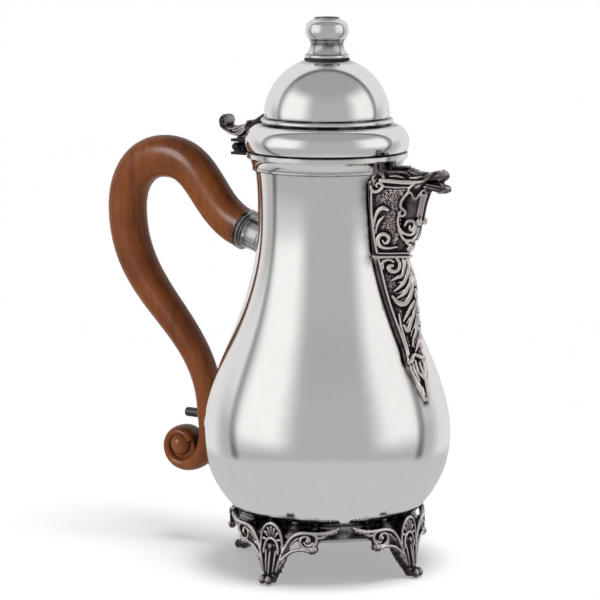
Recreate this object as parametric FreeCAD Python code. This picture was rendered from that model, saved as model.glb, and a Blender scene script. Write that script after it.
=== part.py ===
import FreeCAD, Part
import math
import os

from FreeCAD import Vector

# Coffee pot: raised pear-shaped body, cast feet and beak spout, hinged domed lid, wood scroll handle.
# Millimetres. The body axis is Z, the table is z = 0, the spout points to +X and the handle to -X.

# Body outline, from the base up to the mouth
WALL = 1.1
BASE_Z = 26.0
BASE_RADIUS = 40.5
BELLY_Z = 59.0
BELLY_RADIUS = 54.3
WAIST_Z = 102.5
WAIST_RADIUS = 41.6
NECK_Z = 152.0
NECK_RADIUS = 30.0
RIM_Z = 183.0
MOUTH_RADIUS = 32.9

# Rim band round the mouth
RIM_BAND_HEIGHT = 7.8
RIM_BAND_LIP = 2.2
RIM_BAND_PROUD = 2.2
RIM_BAND_FOOT = 1.3
RIM_BAND_SEAT = 0.1
RIM_FILLET_HEIGHT = 1.3
RIM_HOLLOW = 0.7

# Lid
LID_GAP = 0.35
LID_WALL = 1.1
LID_OVERHANG = 0.5
SHOULDER_RADIUS = 7.6
SHOULDER_RISE = 4.0
STEP_WIDTH = 1.4
STEP_HEIGHT = 3.6
DOME_RADIUS = 27.2
BEZEL_DEPTH = 5.5
BEZEL_WALL = 0.9
BEZEL_CLEARANCE = 0.8

# Finial on the dome
FINIAL_BASE_RADIUS = 9.5
FINIAL_BASE_RISE = 1.2
FINIAL_WAIST_RADIUS = 7.1
FINIAL_WAIST_RISE = 5.6
FINIAL_KNOB_RADIUS = 9.45
FINIAL_KNOB_RISE = 10.0
FINIAL_TOP_RADIUS = 5.5
FINIAL_TOP_RISE = 15.1
FINIAL_CAP_HEIGHT = 0.9
GASKET_RADIUS = 9.8
GASKET_THICKNESS = 0.9
STUD_RADIUS = 2.0
STUD_LENGTH = 6.5
WASHER_RADIUS = 5.0
WASHER_THICKNESS = 1.0
NUT_ACROSS_FLATS = 7.0
NUT_HEIGHT = 3.0

# Hinge behind the rim, axis along Y
HINGE_REACH = 7.4
HINGE_WIDTH = 18.0
KNUCKLE_RADIUS = 1.9
KNUCKLE_GAP = 0.35
KNUCKLE_COUNT = 5
LEAF_THICKNESS = 1.2
LEAF_CLEARANCE = 0.35
LEAF_LIP = 2.6
PIN_RADIUS = 0.8
PIN_RUNNING_FIT = 0.05
PIN_HEAD_RADIUS = 1.5
PIN_HEAD_LENGTH = 0.7

# Thumbpiece over the hinge
THUMB_WIDTH = 6.6
THUMB_REACH = 11.6
THUMB_RISE = 10.6
THUMB_ROLL_RADIUS = 2.4
THUMB_THICKNESS = 3.4
STRAP_WIDTH = 6.0
STRAP_THICKNESS = 1.4

# Spout: heights above its foot, half widths at the neck, reach of its nose from the neck
SPOUT_BELOW_RIM = 41.5
SPOUT_FOOT_Z = RIM_Z - SPOUT_BELOW_RIM
SPOUT_WALL = 1.5
SPOUT_FLANGE = 3.0
SPOUT_STATIONS = (
    (0.0, 8.5, 12.0, 2.6),
    (8.0, 9.0, 17.0, 2.4),
    (15.0, 9.6, 19.2, 2.2),
    (22.0, 10.4, 20.6, 2.2),
    (28.0, 11.0, 22.6, 3.0),
    (31.5, 11.0, 24.0, 3.2),
    (35.5, 6.5, 21.0, 2.6),
)
SPOUT_MOULDING = 1.8
SPOUT_MOULDING_PROUD = 0.9

# Beak at the end of the spout: distance out from the spout's nose line, low, high, half width
BEAK_RISE = 31.9
BEAK_Z = SPOUT_FOOT_Z + BEAK_RISE
BEAK_STATIONS = (
    (15.0, -6.0, 3.4, 4.6),
    (20.5, -5.2, 3.4, 4.2),
    (25.0, -4.2, 4.6, 4.0),
    (28.0, -4.0, 4.4, 3.6),
    (30.2, -3.4, 3.0, 2.9),
)
BEAK_CHANNEL_RADIUS = 2.2
GAPE_DEPTH = 7.6
GAPE_HEIGHT = 4.6

# Strainer between neck and spout
STRAINER_WIDTH = 11.0
STRAINER_HEIGHT = 20.0
STRAINER_RISE = 6.0
STRAINER_HOLE_RADIUS = 1.2
STRAINER_PITCH = 3.6

# Drop under the spout: depth below the spout foot, half width, reach from the wall, nose half width
DROP_STATIONS = (
    (0.0, 8.5, 10.6, 2.4),
    (10.5, 7.3, 12.4, 2.2),
    (25.0, 6.0, 10.0, 2.0),
    (38.0, 5.0, 6.4, 1.8),
    (47.5, 6.4, 3.8, 1.8),
    (55.5, 4.4, 2.6, 1.4),
    (62.0, 1.2, 1.2, 0.7),
)
DROP_FLANGE = 2.6

# Foot ring
RING_BOTTOM_Z = 18.5
RING_PROUD = 0.4
RING_HOLLOW = 1.4
RING_BEAD_HEIGHT = 1.8
RING_WALL = 3.2

# Cast feet
FOOT_COUNT = 4
TOE_CIRCLE_RADIUS = 45.8
TOE_LOBE_RADIUS = 2.3
TOE_LOBE_SPREAD = 1.9
TOE_LOBE_REACH = 1.4
TOE_LOBE_LIFT = 0.9
LEG_TOP_HALF_WIDTH = 6.6
LEG_ANKLE_HALF_WIDTH = 3.2
LEG_HALF_DEPTH = 2.2
LEG_ARCH_DROP = 1.2
LEG_HEIGHT_SHARES = (1.0, 0.72, 0.42, 0.18, 0.0)
LEG_LEAN_POWER = 0.7
LEG_TAPER_POWER = 1.3
FOOT_DEPTH = 3.0
WING_DEPTH = 2.0
PALMETTE_HALF_WIDTH = 6.6
PALMETTE_HEIGHT = 9.4
PALMETTE_RIBS = 7
PALMETTE_RIB_RADIUS = 0.8
PALMETTE_RIB_SHARE = 0.86
WING_BAND = 1.9
WING_REACH = 16.0
WING_EYE_RADIUS = 1.7
WING_SCROLL_RADIUS = 3.1
WING_LEAF_REACH = 26.0
WING_HIP_SHARE = 0.7
WING_RUN_IN = 2.2
WING_RUN_RISE = 0.4
WING_CLOSING = 0.11
WING_SWELL = 1.25
WING_TAPER = 0.5
BRACKET_BEND = 1.2
BRACKET_END = 1.35

# Handle: centre line stations and section sizes
HANDLE_TOP_Z = 141.4
HANDLE_TOP_TILT = 18.0
HANDLE_CREST_OUT = 56.3
HANDLE_CREST_RISE = 34.4
HANDLE_REACH_OUT = 79.4
HANDLE_REACH_RISE = 9.6
HANDLE_FOOT_Z = 59.5
HANDLE_THICK = 17.8
HANDLE_DEEP = 15.6
HANDLE_CREST_THICK = 19.0
HANDLE_THROAT_THICK = 11.6
HANDLE_THROAT_DEEP = 12.4
HANDLE_PULL = 0.42
HANDLE_SECTIONS = 6
VOLUTE_RADIUS = 11.2
VOLUTE_OUT = 14.2
VOLUTE_DROP = 15.8
VOLUTE_DEEP = 12.0
VOLUTE_BAND_THICK = 6.6
VOLUTE_END_THICK = 4.2
VOLUTE_EYE_RADIUS = 4.2
VOLUTE_CORE_DEEP = 8.4
VOLUTE_GROOVE = 0.5
VOLUTE_TURN = math.radians(378)
VOLUTE_SECTIONS = 16
VOLUTE_LEAD_IN = 8
VOLUTE_THROAT_FADE = 5
VOLUTE_BAND_FADE = 0.5

# Sockets, cross pin and peg that hold the handle
SOCKET_RADIUS = 7.4
SOCKET_WALL = 1.1
SOCKET_LENGTH = 14.5
COLLAR_RADIUS = 9.2
COLLAR_LENGTH = 2.4
TENON_LENGTH = 10.0
CROSS_PIN_RADIUS = 0.9
CROSS_PIN_PROUD = 0.4
LOWER_SOCKET_RADIUS = 5.2
LOWER_SOCKET_SEAT = 1.6
HANDLE_STANDOFF = 3.4
PEG_RADIUS = 2.1
PEG_PROUD = 7.6
PEG_DEPTH = 4.0

# Room for cutting tools beyond the pieces they cut
OVERCUT = 20.0

# Fineness of curves that are found step by step
WALL_OFFSET_STEPS = 16
HALVINGS = 50

Z_AXIS = Vector(0, 0, 1)
Y_AXIS = Vector(0, 1, 0)
X_AXIS = Vector(1, 0, 0)
ORIGIN = Vector(0, 0, 0)


def at(radius, z):
    """Point of a turned profile: radius from the body axis and height."""
    return Vector(radius, 0, z)


def line(start, end):
    return Part.LineSegment(start, end).toShape()


def arc(start, middle, end):
    return Part.Arc(start, middle, end).toShape()


def smooth(points, closed=False):
    """Smooth curve through the given points."""
    curve = Part.BSplineCurve()
    curve.interpolate(Points=points, PeriodicFlag=closed)
    return curve


def turned(edges):
    """Solid of revolution about the body axis from a closed profile."""
    face = Part.Face(Part.Wire(edges))
    return Part.makeSolid(face.revolve(ORIGIN, Z_AXIS, 360).Shells[0])


def oval(centre, across, along, points=12):
    """Closed oval wire with half axes across and along."""
    steps = [2 * math.pi * i / points for i in range(points)]
    ring = [centre + across * math.cos(t) + along * math.sin(t) for t in steps]
    return Part.Wire([smooth(ring, closed=True).toShape()])


def prism(points, direction):
    """Solid from a flat polygon moved along a direction."""
    face = Part.Face(Part.makePolygon(points + points[:1]))
    return face.extrude(direction)


def block(low, high):
    """Box between two opposite corners."""
    size = high - low
    return Part.makeBox(size.x, size.y, size.z, low)


def fused(solids):
    return solids[0].fuse(solids[1:]).removeSplitter() if len(solids) > 1 else solids[0]


def rod(start, end, radius):
    """Round rod between two points."""
    return Part.makeCylinder(radius, (end - start).Length, start, end - start)


# Body

def body_curve():
    stations = [
        at(BASE_RADIUS, BASE_Z),
        at(BELLY_RADIUS, BELLY_Z),
        at(WAIST_RADIUS, WAIST_Z),
        at(NECK_RADIUS, NECK_Z),
        at(MOUTH_RADIUS, RIM_Z),
    ]
    upright = [False, True, False, True, False]
    curve = Part.BSplineCurve()
    curve.interpolate(Points=stations, Tangents=[Z_AXIS] * len(stations), TangentFlags=upright)
    return curve


BODY_CURVE = body_curve()


def wall_parameter(z):
    """Where the outline of the body reaches a height."""
    low = BODY_CURVE.FirstParameter
    high = BODY_CURVE.LastParameter
    for _ in range(HALVINGS):
        middle = (low + high) / 2
        if BODY_CURVE.value(middle).z < z:
            low = middle
        else:
            high = middle
    return low


def wall_radius(z):
    """Outer radius of the body at a height."""
    return BODY_CURVE.value(wall_parameter(z)).x


def body_filled():
    """The body as a full solid, which everything soldered to it is cut by."""
    outline = BODY_CURVE.toShape()
    return turned([
        line(at(0, BASE_Z), at(BASE_RADIUS, BASE_Z)),
        outline,
        line(at(MOUTH_RADIUS, RIM_Z), at(0, RIM_Z)),
        line(at(0, RIM_Z), at(0, BASE_Z)),
    ])


def body_hollow():
    """The room inside the body, one wall in from its outline."""
    steps = WALL_OFFSET_STEPS
    floor_z = BASE_Z + WALL
    inner = []
    for i in range(steps + 1):
        t = BODY_CURVE.FirstParameter + i * (BODY_CURVE.LastParameter - BODY_CURVE.FirstParameter) / steps
        point = BODY_CURVE.value(t)
        tangent = BODY_CURVE.tangent(t)[0]
        inward = Vector(-tangent.z, 0, tangent.x)
        inner.append(point + inward * WALL)
    inner[0].z = floor_z
    inner[-1].z = RIM_Z
    return turned([
        line(at(0, floor_z), inner[0]),
        smooth(inner).toShape(),
        line(inner[-1], at(0, RIM_Z)),
        line(at(0, RIM_Z), at(0, floor_z)),
    ])


def strainer_opening():
    """Upright window in the neck wall behind the spout."""
    low_z = SPOUT_FOOT_Z + STRAINER_RISE
    half = STRAINER_WIDTH / 2
    return block(Vector(0, -half, low_z), Vector(BELLY_RADIUS, half, low_z + STRAINER_HEIGHT))


def strainer_holes():
    columns = int(STRAINER_WIDTH / STRAINER_PITCH)
    rows = int(STRAINER_HEIGHT / STRAINER_PITCH)
    middle_z = SPOUT_FOOT_Z + STRAINER_RISE + STRAINER_HEIGHT / 2
    holes = []
    for column in range(columns):
        for row in range(rows):
            y = (column - (columns - 1) / 2) * STRAINER_PITCH
            z = middle_z + (row - (rows - 1) / 2) * STRAINER_PITCH
            start = Vector(0, y, z)
            holes.append(rod(start, start + X_AXIS * BELLY_RADIUS, STRAINER_HOLE_RADIUS))
    return Part.makeCompound(holes)


# Rim band

def rim_radius():
    return MOUTH_RADIUS + RIM_BAND_PROUD


def rim_foot_z():
    return RIM_Z - RIM_BAND_HEIGHT


def rim_edges():
    """Outer side of the rim band, upwards: plain foot, shallow hollow, upright lip."""
    foot_low = at(wall_radius(rim_foot_z()) + RIM_BAND_FOOT, rim_foot_z())
    foot_high = at(foot_low.x, foot_low.z + RIM_FILLET_HEIGHT)
    lip = at(rim_radius(), RIM_Z - RIM_BAND_LIP)
    hollow = at((foot_high.x + lip.x - RIM_HOLLOW) / 2, (foot_high.z + lip.z + RIM_HOLLOW) / 2)
    return [
        line(foot_low, foot_high),
        arc(foot_high, hollow, lip),
        line(lip, at(rim_radius(), RIM_Z)),
    ]


def rim_band():
    """Ring between its own outline and the wall of the body, with room for solder."""
    start = wall_parameter(rim_foot_z())
    wall = BODY_CURVE.toShape(start, BODY_CURVE.LastParameter).translated(X_AXIS * RIM_BAND_SEAT)
    root = BODY_CURVE.value(start) + X_AXIS * RIM_BAND_SEAT
    mouth = at(MOUTH_RADIUS + RIM_BAND_SEAT, RIM_Z)
    edges = rim_edges()
    foot = line(root, edges[0].Vertexes[0].Point)
    top = line(at(rim_radius(), RIM_Z), mouth)
    return turned([foot] + edges + [top, wall])


def rim_filled():
    """The rim band as a full disc, which pieces beside it are cut by."""
    foot = at(0, rim_foot_z())
    foot_edge = at(wall_radius(rim_foot_z()) + RIM_BAND_FOOT, rim_foot_z())
    top = at(0, RIM_Z)
    closing = [line(at(rim_radius(), RIM_Z), top), line(top, foot)]
    return turned([line(foot, foot_edge)] + rim_edges() + closing)


# Lid

def lid_base_z():
    return RIM_Z + LID_GAP


def lid_radius():
    return rim_radius() + LID_OVERHANG


def dome_centre_z():
    shoulder_z = lid_base_z() + SHOULDER_RISE
    run = DOME_RADIUS + STEP_WIDTH - (lid_radius() - SHOULDER_RADIUS)
    return shoulder_z + math.sqrt(max(SHOULDER_RADIUS ** 2 - run ** 2, 0)) + STEP_HEIGHT


def dome_top_z():
    return dome_centre_z() + DOME_RADIUS


def lid_filled(inset=0.0):
    """The lid as a full solid whose skin is moved inwards by inset."""
    centre_radius = lid_radius() - SHOULDER_RADIUS
    shoulder_z = lid_base_z() + SHOULDER_RISE
    round_radius = SHOULDER_RADIUS - inset
    base_z = lid_base_z() + inset
    riser_radius = DOME_RADIUS + STEP_WIDTH - inset
    dome_radius = DOME_RADIUS - inset
    centre_z = dome_centre_z()
    edge_run = math.sqrt(round_radius ** 2 - (shoulder_z - base_z) ** 2)
    top_z = shoulder_z + math.sqrt(round_radius ** 2 - (riser_radius - centre_radius) ** 2)
    edge = at(centre_radius + edge_run, base_z)
    crown = at(riser_radius, top_z)
    ledge = at(riser_radius, centre_z - STEP_WIDTH)
    springing = at(dome_radius, centre_z)
    haunch = at(dome_radius * math.cos(math.pi / 4), centre_z + dome_radius * math.sin(math.pi / 4))
    apex = at(0, centre_z + dome_radius)
    return turned([
        line(at(0, base_z), edge),
        arc(edge, at(centre_radius + round_radius, shoulder_z), crown),
        line(crown, ledge),
        line(ledge, springing),
        arc(springing, haunch, apex),
        line(apex, at(0, base_z)),
    ])


def bezel_radius():
    return wall_radius(RIM_Z - BEZEL_DEPTH) - WALL - BEZEL_CLEARANCE


def lid_shell():
    shell = lid_filled().cut(lid_filled(LID_WALL))
    mouth = Part.makeCylinder(bezel_radius(), 2 * LID_WALL, at(0, lid_base_z() - LID_WALL / 2))
    stud_hole = Part.makeCylinder(STUD_RADIUS, 2 * STUD_LENGTH, at(0, dome_top_z() - STUD_LENGTH))
    return shell.cut([mouth, stud_hole])


def lid_bezel():
    low_z = RIM_Z - BEZEL_DEPTH
    height = lid_base_z() + LID_WALL - low_z
    outer = Part.makeCylinder(bezel_radius(), height, at(0, low_z))
    bore = Part.makeCylinder(bezel_radius() - BEZEL_WALL, height, at(0, low_z))
    return outer.cut(bore)


# Finial

def finial_base_z():
    """Underside of the finial, on a gasket that stands on the dome."""
    return dome_centre_z() + math.sqrt(DOME_RADIUS ** 2 - GASKET_RADIUS ** 2) + GASKET_THICKNESS


def finial():
    base_z = finial_base_z()
    flange = at(FINIAL_BASE_RADIUS, base_z + FINIAL_BASE_RISE)
    waist = at(FINIAL_WAIST_RADIUS, base_z + FINIAL_WAIST_RISE)
    knob = at(FINIAL_KNOB_RADIUS, base_z + FINIAL_KNOB_RISE)
    shoulder = at(FINIAL_TOP_RADIUS, base_z + FINIAL_TOP_RISE)
    cap = at(FINIAL_TOP_RADIUS, base_z + FINIAL_TOP_RISE + FINIAL_CAP_HEIGHT)
    hollow = at((flange.x + 3 * waist.x) / 4, (flange.z + waist.z) / 2)
    turning = turned([
        line(at(0, base_z), at(FINIAL_BASE_RADIUS, base_z)),
        line(at(FINIAL_BASE_RADIUS, base_z), flange),
        arc(flange, hollow, waist),
        arc(waist, knob, shoulder),
        line(shoulder, cap),
        line(cap, at(0, cap.z)),
        line(at(0, cap.z), at(0, base_z)),
    ])
    low_z = dome_top_z() - STUD_LENGTH
    stud = Part.makeCylinder(STUD_RADIUS, base_z + FINIAL_BASE_RISE - low_z, at(0, low_z))
    return fused([turning.cut(lid_filled()), stud])


def finial_gasket():
    """Dark gasket between the dome and the finial."""
    low_z = finial_base_z() - GASKET_RADIUS
    disc = Part.makeCylinder(GASKET_RADIUS, GASKET_RADIUS, at(0, low_z))
    bore = Part.makeCylinder(STUD_RADIUS, 2 * GASKET_RADIUS, at(0, low_z))
    return disc.cut([lid_filled(), finial(), bore])


def finial_washer():
    """Washer dished to the inside of the dome."""
    rim_z = dome_centre_z() + math.sqrt((DOME_RADIUS - LID_WALL) ** 2 - WASHER_RADIUS ** 2)
    low_z = rim_z - WASHER_THICKNESS
    disc = Part.makeCylinder(WASHER_RADIUS, dome_top_z() - low_z, at(0, low_z))
    bore = Part.makeCylinder(STUD_RADIUS, dome_top_z() - low_z, at(0, low_z))
    return disc.common(lid_filled(LID_WALL)).cut(bore)


def finial_nut():
    rim_z = dome_centre_z() + math.sqrt((DOME_RADIUS - LID_WALL) ** 2 - WASHER_RADIUS ** 2)
    top_z = rim_z - WASHER_THICKNESS
    corner = NUT_ACROSS_FLATS / 2 / math.cos(math.pi / 6)
    angles = [math.radians(60 * i) for i in range(6)]
    corners = [Vector(corner * math.cos(a), corner * math.sin(a), top_z - NUT_HEIGHT) for a in angles]
    bore = Part.makeCylinder(STUD_RADIUS, NUT_HEIGHT, at(0, top_z - NUT_HEIGHT))
    return prism(corners, Z_AXIS * NUT_HEIGHT).cut(bore)


# Hinge

def hinge_axis():
    return Vector(-(rim_radius() + HINGE_REACH), 0, RIM_Z + LID_GAP / 2)


def knuckle_spans():
    """Start and end along Y of each knuckle, body knuckles first, third and fifth."""
    pitch = HINGE_WIDTH / KNUCKLE_COUNT
    spans = []
    for i in range(KNUCKLE_COUNT):
        start = -HINGE_WIDTH / 2 + i * pitch
        spans.append((start + KNUCKLE_GAP / 2, start + pitch - KNUCKLE_GAP / 2))
    return spans


def barrel(span, radius):
    """Round length on the hinge axis."""
    return rod(hinge_axis() + Y_AXIS * span[0], hinge_axis() + Y_AXIS * span[1], radius)


def hinge_leaf(own, side, seat, bore_radius):
    """Plate above (side 1) or below (side -1) the axis, its knuckles hung from it by short webs."""
    axis = hinge_axis()
    half = HINGE_WIDTH / 2 - KNUCKLE_GAP / 2
    near_z = axis.z + side * (KNUCKLE_RADIUS + LEAF_CLEARANCE)
    far_z = near_z + side * LEAF_THICKNESS
    seat_x = -rim_radius() / 2
    pieces = [block(
        Vector(axis.x - LEAF_LIP, -half, min(near_z, far_z)),
        Vector(seat_x, half, max(near_z, far_z)),
    ).cut(seat)]
    for span in own:
        web_low = Vector(axis.x - KNUCKLE_RADIUS / 2, span[0], min(axis.z, near_z))
        web_high = Vector(axis.x + KNUCKLE_RADIUS, span[1], max(axis.z, near_z))
        pieces.append(block(web_low, web_high))
        pieces.append(barrel(span, KNUCKLE_RADIUS))
    return fused(pieces).cut(barrel((-HINGE_WIDTH, HINGE_WIDTH), bore_radius))


def hinge_body_leaf(rim_and_body):
    return hinge_leaf(knuckle_spans()[0::2], -1, rim_and_body, PIN_RADIUS)


def hinge_lid_leaf():
    return hinge_leaf(knuckle_spans()[1::2], 1, lid_filled(), PIN_RADIUS + PIN_RUNNING_FIT)


def lid_leaf_top():
    return hinge_axis().z + KNUCKLE_RADIUS + LEAF_CLEARANCE + LEAF_THICKNESS


def hinge_pin():
    half = HINGE_WIDTH / 2 - KNUCKLE_GAP / 2
    pieces = [barrel((-half, half), PIN_RADIUS)]
    pieces.append(barrel((half, half + PIN_HEAD_LENGTH), PIN_HEAD_RADIUS))
    pieces.append(barrel((-half - PIN_HEAD_LENGTH, -half), PIN_HEAD_RADIUS))
    return fused(pieces)


# Thumbpiece

def thumbpiece():
    """Cast scroll on the lid leaf: a stem that rises to a roll, and a strap up the lid's shoulder."""
    axis = hinge_axis()
    foot_z = lid_leaf_top()
    roll = axis + Vector(-THUMB_REACH, 0, THUMB_RISE)
    seat_x = -(lid_radius() - SHOULDER_RADIUS / 2)
    heel = Vector(axis.x - LEAF_LIP / 2, 0, foot_z)
    low_third = (2 * foot_z + roll.z) / 3
    lower = [
        heel,
        Vector((heel.x + roll.x) / 2 - THUMB_ROLL_RADIUS / 2, 0, low_third),
        roll - X_AXIS * THUMB_ROLL_RADIUS,
    ]
    upper = [
        roll + Vector(THUMB_ROLL_RADIUS / 2, 0, -THUMB_ROLL_RADIUS / 2),
        Vector((heel.x + roll.x) / 2 + THUMB_ROLL_RADIUS, 0, low_third + THUMB_THICKNESS / 2),
        Vector(seat_x, 0, foot_z + THUMB_THICKNESS),
    ]
    front = Vector(seat_x, 0, foot_z)
    outline = Part.Wire([
        smooth(lower).toShape(),
        line(lower[-1], upper[0]),
        smooth(upper).toShape(),
        line(upper[-1], front),
        line(front, heel),
    ])
    half = Y_AXIS * (THUMB_WIDTH / 2)
    stem = Part.Face(outline).extrude(half * 2)
    stem.translate(half * -1)
    scroll = rod(roll - half, roll + half, THUMB_ROLL_RADIUS)
    strap = lid_filled(-STRAP_THICKNESS).common(block(
        Vector(heel.x, -STRAP_WIDTH / 2, foot_z),
        Vector(-DOME_RADIUS, STRAP_WIDTH / 2, dome_centre_z() - STEP_WIDTH),
    ))
    return fused([stem, scroll, strap]).cut(lid_filled())


# Spout

def keel_section(z, half_width, flange_x, nose_x, nose_half):
    """Level section of a keel: straight flanges at the wall, then two faces that meet at a round nose."""
    left = Vector(flange_x, -half_width, z)
    right = Vector(flange_x, half_width, z)
    nose_left = Vector(nose_x - nose_half, -nose_half, z)
    nose_right = Vector(nose_x - nose_half, nose_half, z)
    root_left = Vector(NECK_RADIUS / 2, -half_width, z)
    root_right = Vector(NECK_RADIUS / 2, half_width, z)
    return Part.Wire([
        line(root_left, left),
        line(left, nose_left),
        arc(nose_left, Vector(nose_x, 0, z), nose_right),
        line(nose_right, right),
        line(right, root_right),
        line(root_right, root_left),
    ])


def flange_x(z, half_width, flange):
    """Where the flange of a keel ends, measured out from the wall beside it."""
    return math.sqrt(wall_radius(z) ** 2 - half_width ** 2) + flange


def spout_loft(inset=0.0):
    wires = []
    for rise, half_width, reach, nose_half in SPOUT_STATIONS:
        z = SPOUT_FOOT_Z + rise
        if rise == SPOUT_STATIONS[0][0]:
            z += inset
        if rise == SPOUT_STATIONS[-1][0]:
            z -= inset
        edge_x = flange_x(z, half_width, SPOUT_FLANGE) - inset / 2
        nose_x = wall_radius(z) + reach - inset * math.sqrt(2)
        wires.append(keel_section(z, half_width - inset, edge_x, nose_x, nose_half - inset / 2))
    return Part.makeLoft(wires, True, False)


def beak_tip_x():
    return wall_radius(BEAK_Z) + BEAK_STATIONS[-1][0]


def beak():
    wires = []
    for out, low, high, half_width in BEAK_STATIONS:
        centre = Vector(wall_radius(BEAK_Z) + out, 0, BEAK_Z + (low + high) / 2)
        wires.append(oval(centre, Y_AXIS * half_width, Z_AXIS * (high - low) / 2))
    return Part.makeLoft(wires, True, False)


def beak_gape():
    """Wedge between the two halves of the open beak."""
    root = Vector(beak_tip_x() - GAPE_DEPTH, -OVERCUT, BEAK_Z)
    spread = Vector(2 * GAPE_DEPTH, 0, GAPE_HEIGHT)
    drop = Vector(2 * GAPE_DEPTH, 0, -GAPE_HEIGHT)
    return prism([root, root + spread, root + drop], Y_AXIS * 2 * OVERCUT)


def spout_moulding():
    """Plain moulding round the foot of the spout."""
    low = SPOUT_STATIONS[0]
    z = SPOUT_FOOT_Z - SPOUT_MOULDING
    half_width = low[1] + SPOUT_MOULDING_PROUD
    edge_x = flange_x(z, half_width, SPOUT_FLANGE)
    nose_x = wall_radius(z) + low[2] + SPOUT_MOULDING_PROUD
    section = keel_section(z, half_width, edge_x, nose_x, low[3])
    return Part.Face(section).extrude(Z_AXIS * SPOUT_MOULDING)


def spout(body_and_rim):
    channel_start = Vector(wall_radius(BEAK_Z), 0, BEAK_Z)
    channel = rod(channel_start, channel_start + X_AXIS * 2 * BEAK_STATIONS[-1][0], BEAK_CHANNEL_RADIUS)
    outside = fused([spout_loft(), beak(), spout_moulding()])
    inside = fused([spout_loft(SPOUT_WALL), channel])
    return outside.cut([inside, beak_gape(), body_and_rim])


def half_of(shape, side):
    """The part of a shape on one side of the middle plane, side -1 or +1."""
    reach = 2 * BELLY_RADIUS
    low_y = 0 if side > 0 else -reach
    return shape.common(block(Vector(-reach, low_y, 0), Vector(reach, low_y + reach, RIM_Z)))


def spout_drop(body):
    wires = []
    top_z = SPOUT_FOOT_Z - SPOUT_MOULDING
    for depth, half_width, reach, nose_half in DROP_STATIONS:
        z = top_z - depth
        flange = min(DROP_FLANGE, reach / 2)
        nose_x = wall_radius(z) + reach
        wires.append(keel_section(z, half_width, flange_x(z, half_width, flange), nose_x, nose_half))
    return Part.makeLoft(wires, True, False).cut(body)


# Foot ring and feet

def ring_radius():
    return BASE_RADIUS + RING_PROUD


def ring_turned(inner_radius):
    """The foot ring down to an inner radius: a hollow side over a bead, flat on top under the body."""
    bead_z = RING_BOTTOM_Z + RING_BEAD_HEIGHT
    bead_low = at(ring_radius() - RING_BEAD_HEIGHT / 4, RING_BOTTOM_Z)
    bead_high = at(bead_low.x, bead_z)
    top = at(BASE_RADIUS, BASE_Z)
    hollow = at(BASE_RADIUS - RING_HOLLOW, (bead_z + BASE_Z) / 2)
    return turned([
        line(at(inner_radius, RING_BOTTOM_Z), bead_low),
        arc(bead_low, at(ring_radius(), (RING_BOTTOM_Z + bead_z) / 2), bead_high),
        arc(bead_high, hollow, top),
        line(top, at(inner_radius, BASE_Z)),
        line(at(inner_radius, BASE_Z), at(inner_radius, RING_BOTTOM_Z)),
    ])


def tapered_band(points, start_half, end_half):
    """Flat band across the foot, along a smooth line, tapering from one half width to the other."""
    curve = smooth(points)
    steps = 4 * (len(points) - 1)
    left = []
    right = []
    for i in range(steps + 1):
        t = curve.FirstParameter + i * (curve.LastParameter - curve.FirstParameter) / steps
        tangent = curve.tangent(t)[0]
        half = start_half + (end_half - start_half) * i / steps
        aside = Vector(0, -tangent.z, tangent.y) * half
        left.append(curve.value(t) + aside)
        right.append(curve.value(t) - aside)
    outline = [
        smooth(left).toShape(),
        line(left[-1], right[-1]),
        smooth(right[::-1]).toShape(),
        line(right[0], left[0]),
    ]
    return Part.Face(Part.Wire(outline))


def wing_faces(side):
    """Outlines of one scroll wing, drawn across the foot: scroll, eye, lower bracket and leaf."""
    eye_z = RING_BOTTOM_Z + WING_BAND / 4
    eye = Vector(0, side * WING_REACH, eye_z)
    hip = Vector(0, side * LEG_TOP_HALF_WIDTH * WING_HIP_SHARE, RING_BOTTOM_Z - WING_SCROLL_RADIUS)
    run_y = side * (WING_REACH - WING_RUN_IN * WING_SCROLL_RADIUS)
    scroll = [hip, Vector(0, run_y, eye_z + WING_RUN_RISE * WING_SCROLL_RADIUS)]
    for quarter in range(4):
        angle = math.radians(90 - 90 * quarter)
        radius = WING_SCROLL_RADIUS * (1 - WING_CLOSING * quarter)
        scroll.append(eye + Vector(0, side * radius * math.cos(angle), radius * math.sin(angle)))
    ankle = Vector(0, side * LEG_ANKLE_HALF_WIDTH, RING_BOTTOM_Z / 2 + WING_BAND)
    bracket = [
        ankle,
        Vector(0, side * (WING_REACH - WING_SCROLL_RADIUS), eye_z - BRACKET_BEND * WING_SCROLL_RADIUS),
        Vector(0, side * (WING_REACH + WING_EYE_RADIUS / 2), eye_z - BRACKET_END * WING_SCROLL_RADIUS),
    ]
    leaf = [
        eye + Vector(0, 0, WING_SCROLL_RADIUS),
        Vector(0, side * (WING_REACH + WING_LEAF_REACH) / 2, BASE_Z - WING_BAND),
        Vector(0, side * WING_LEAF_REACH, BASE_Z),
    ]
    half = WING_BAND / 2
    disc = Part.Face(Part.Wire([Part.Circle(eye, X_AXIS, WING_EYE_RADIUS).toShape()]))
    return [
        tapered_band(scroll, half * WING_SWELL, half * WING_TAPER),
        tapered_band(bracket, half, half * WING_TAPER),
        tapered_band(leaf, half * WING_SWELL, half * WING_TAPER),
        disc,
    ]


def palmette_face():
    foot_z = RING_BOTTOM_Z - WING_BAND
    left = Vector(0, -PALMETTE_HALF_WIDTH, foot_z)
    right = Vector(0, PALMETTE_HALF_WIDTH, foot_z)
    top = Vector(0, 0, foot_z + PALMETTE_HEIGHT)
    return Part.Face(Part.Wire([arc(left, top, right), line(right, left)]))


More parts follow.
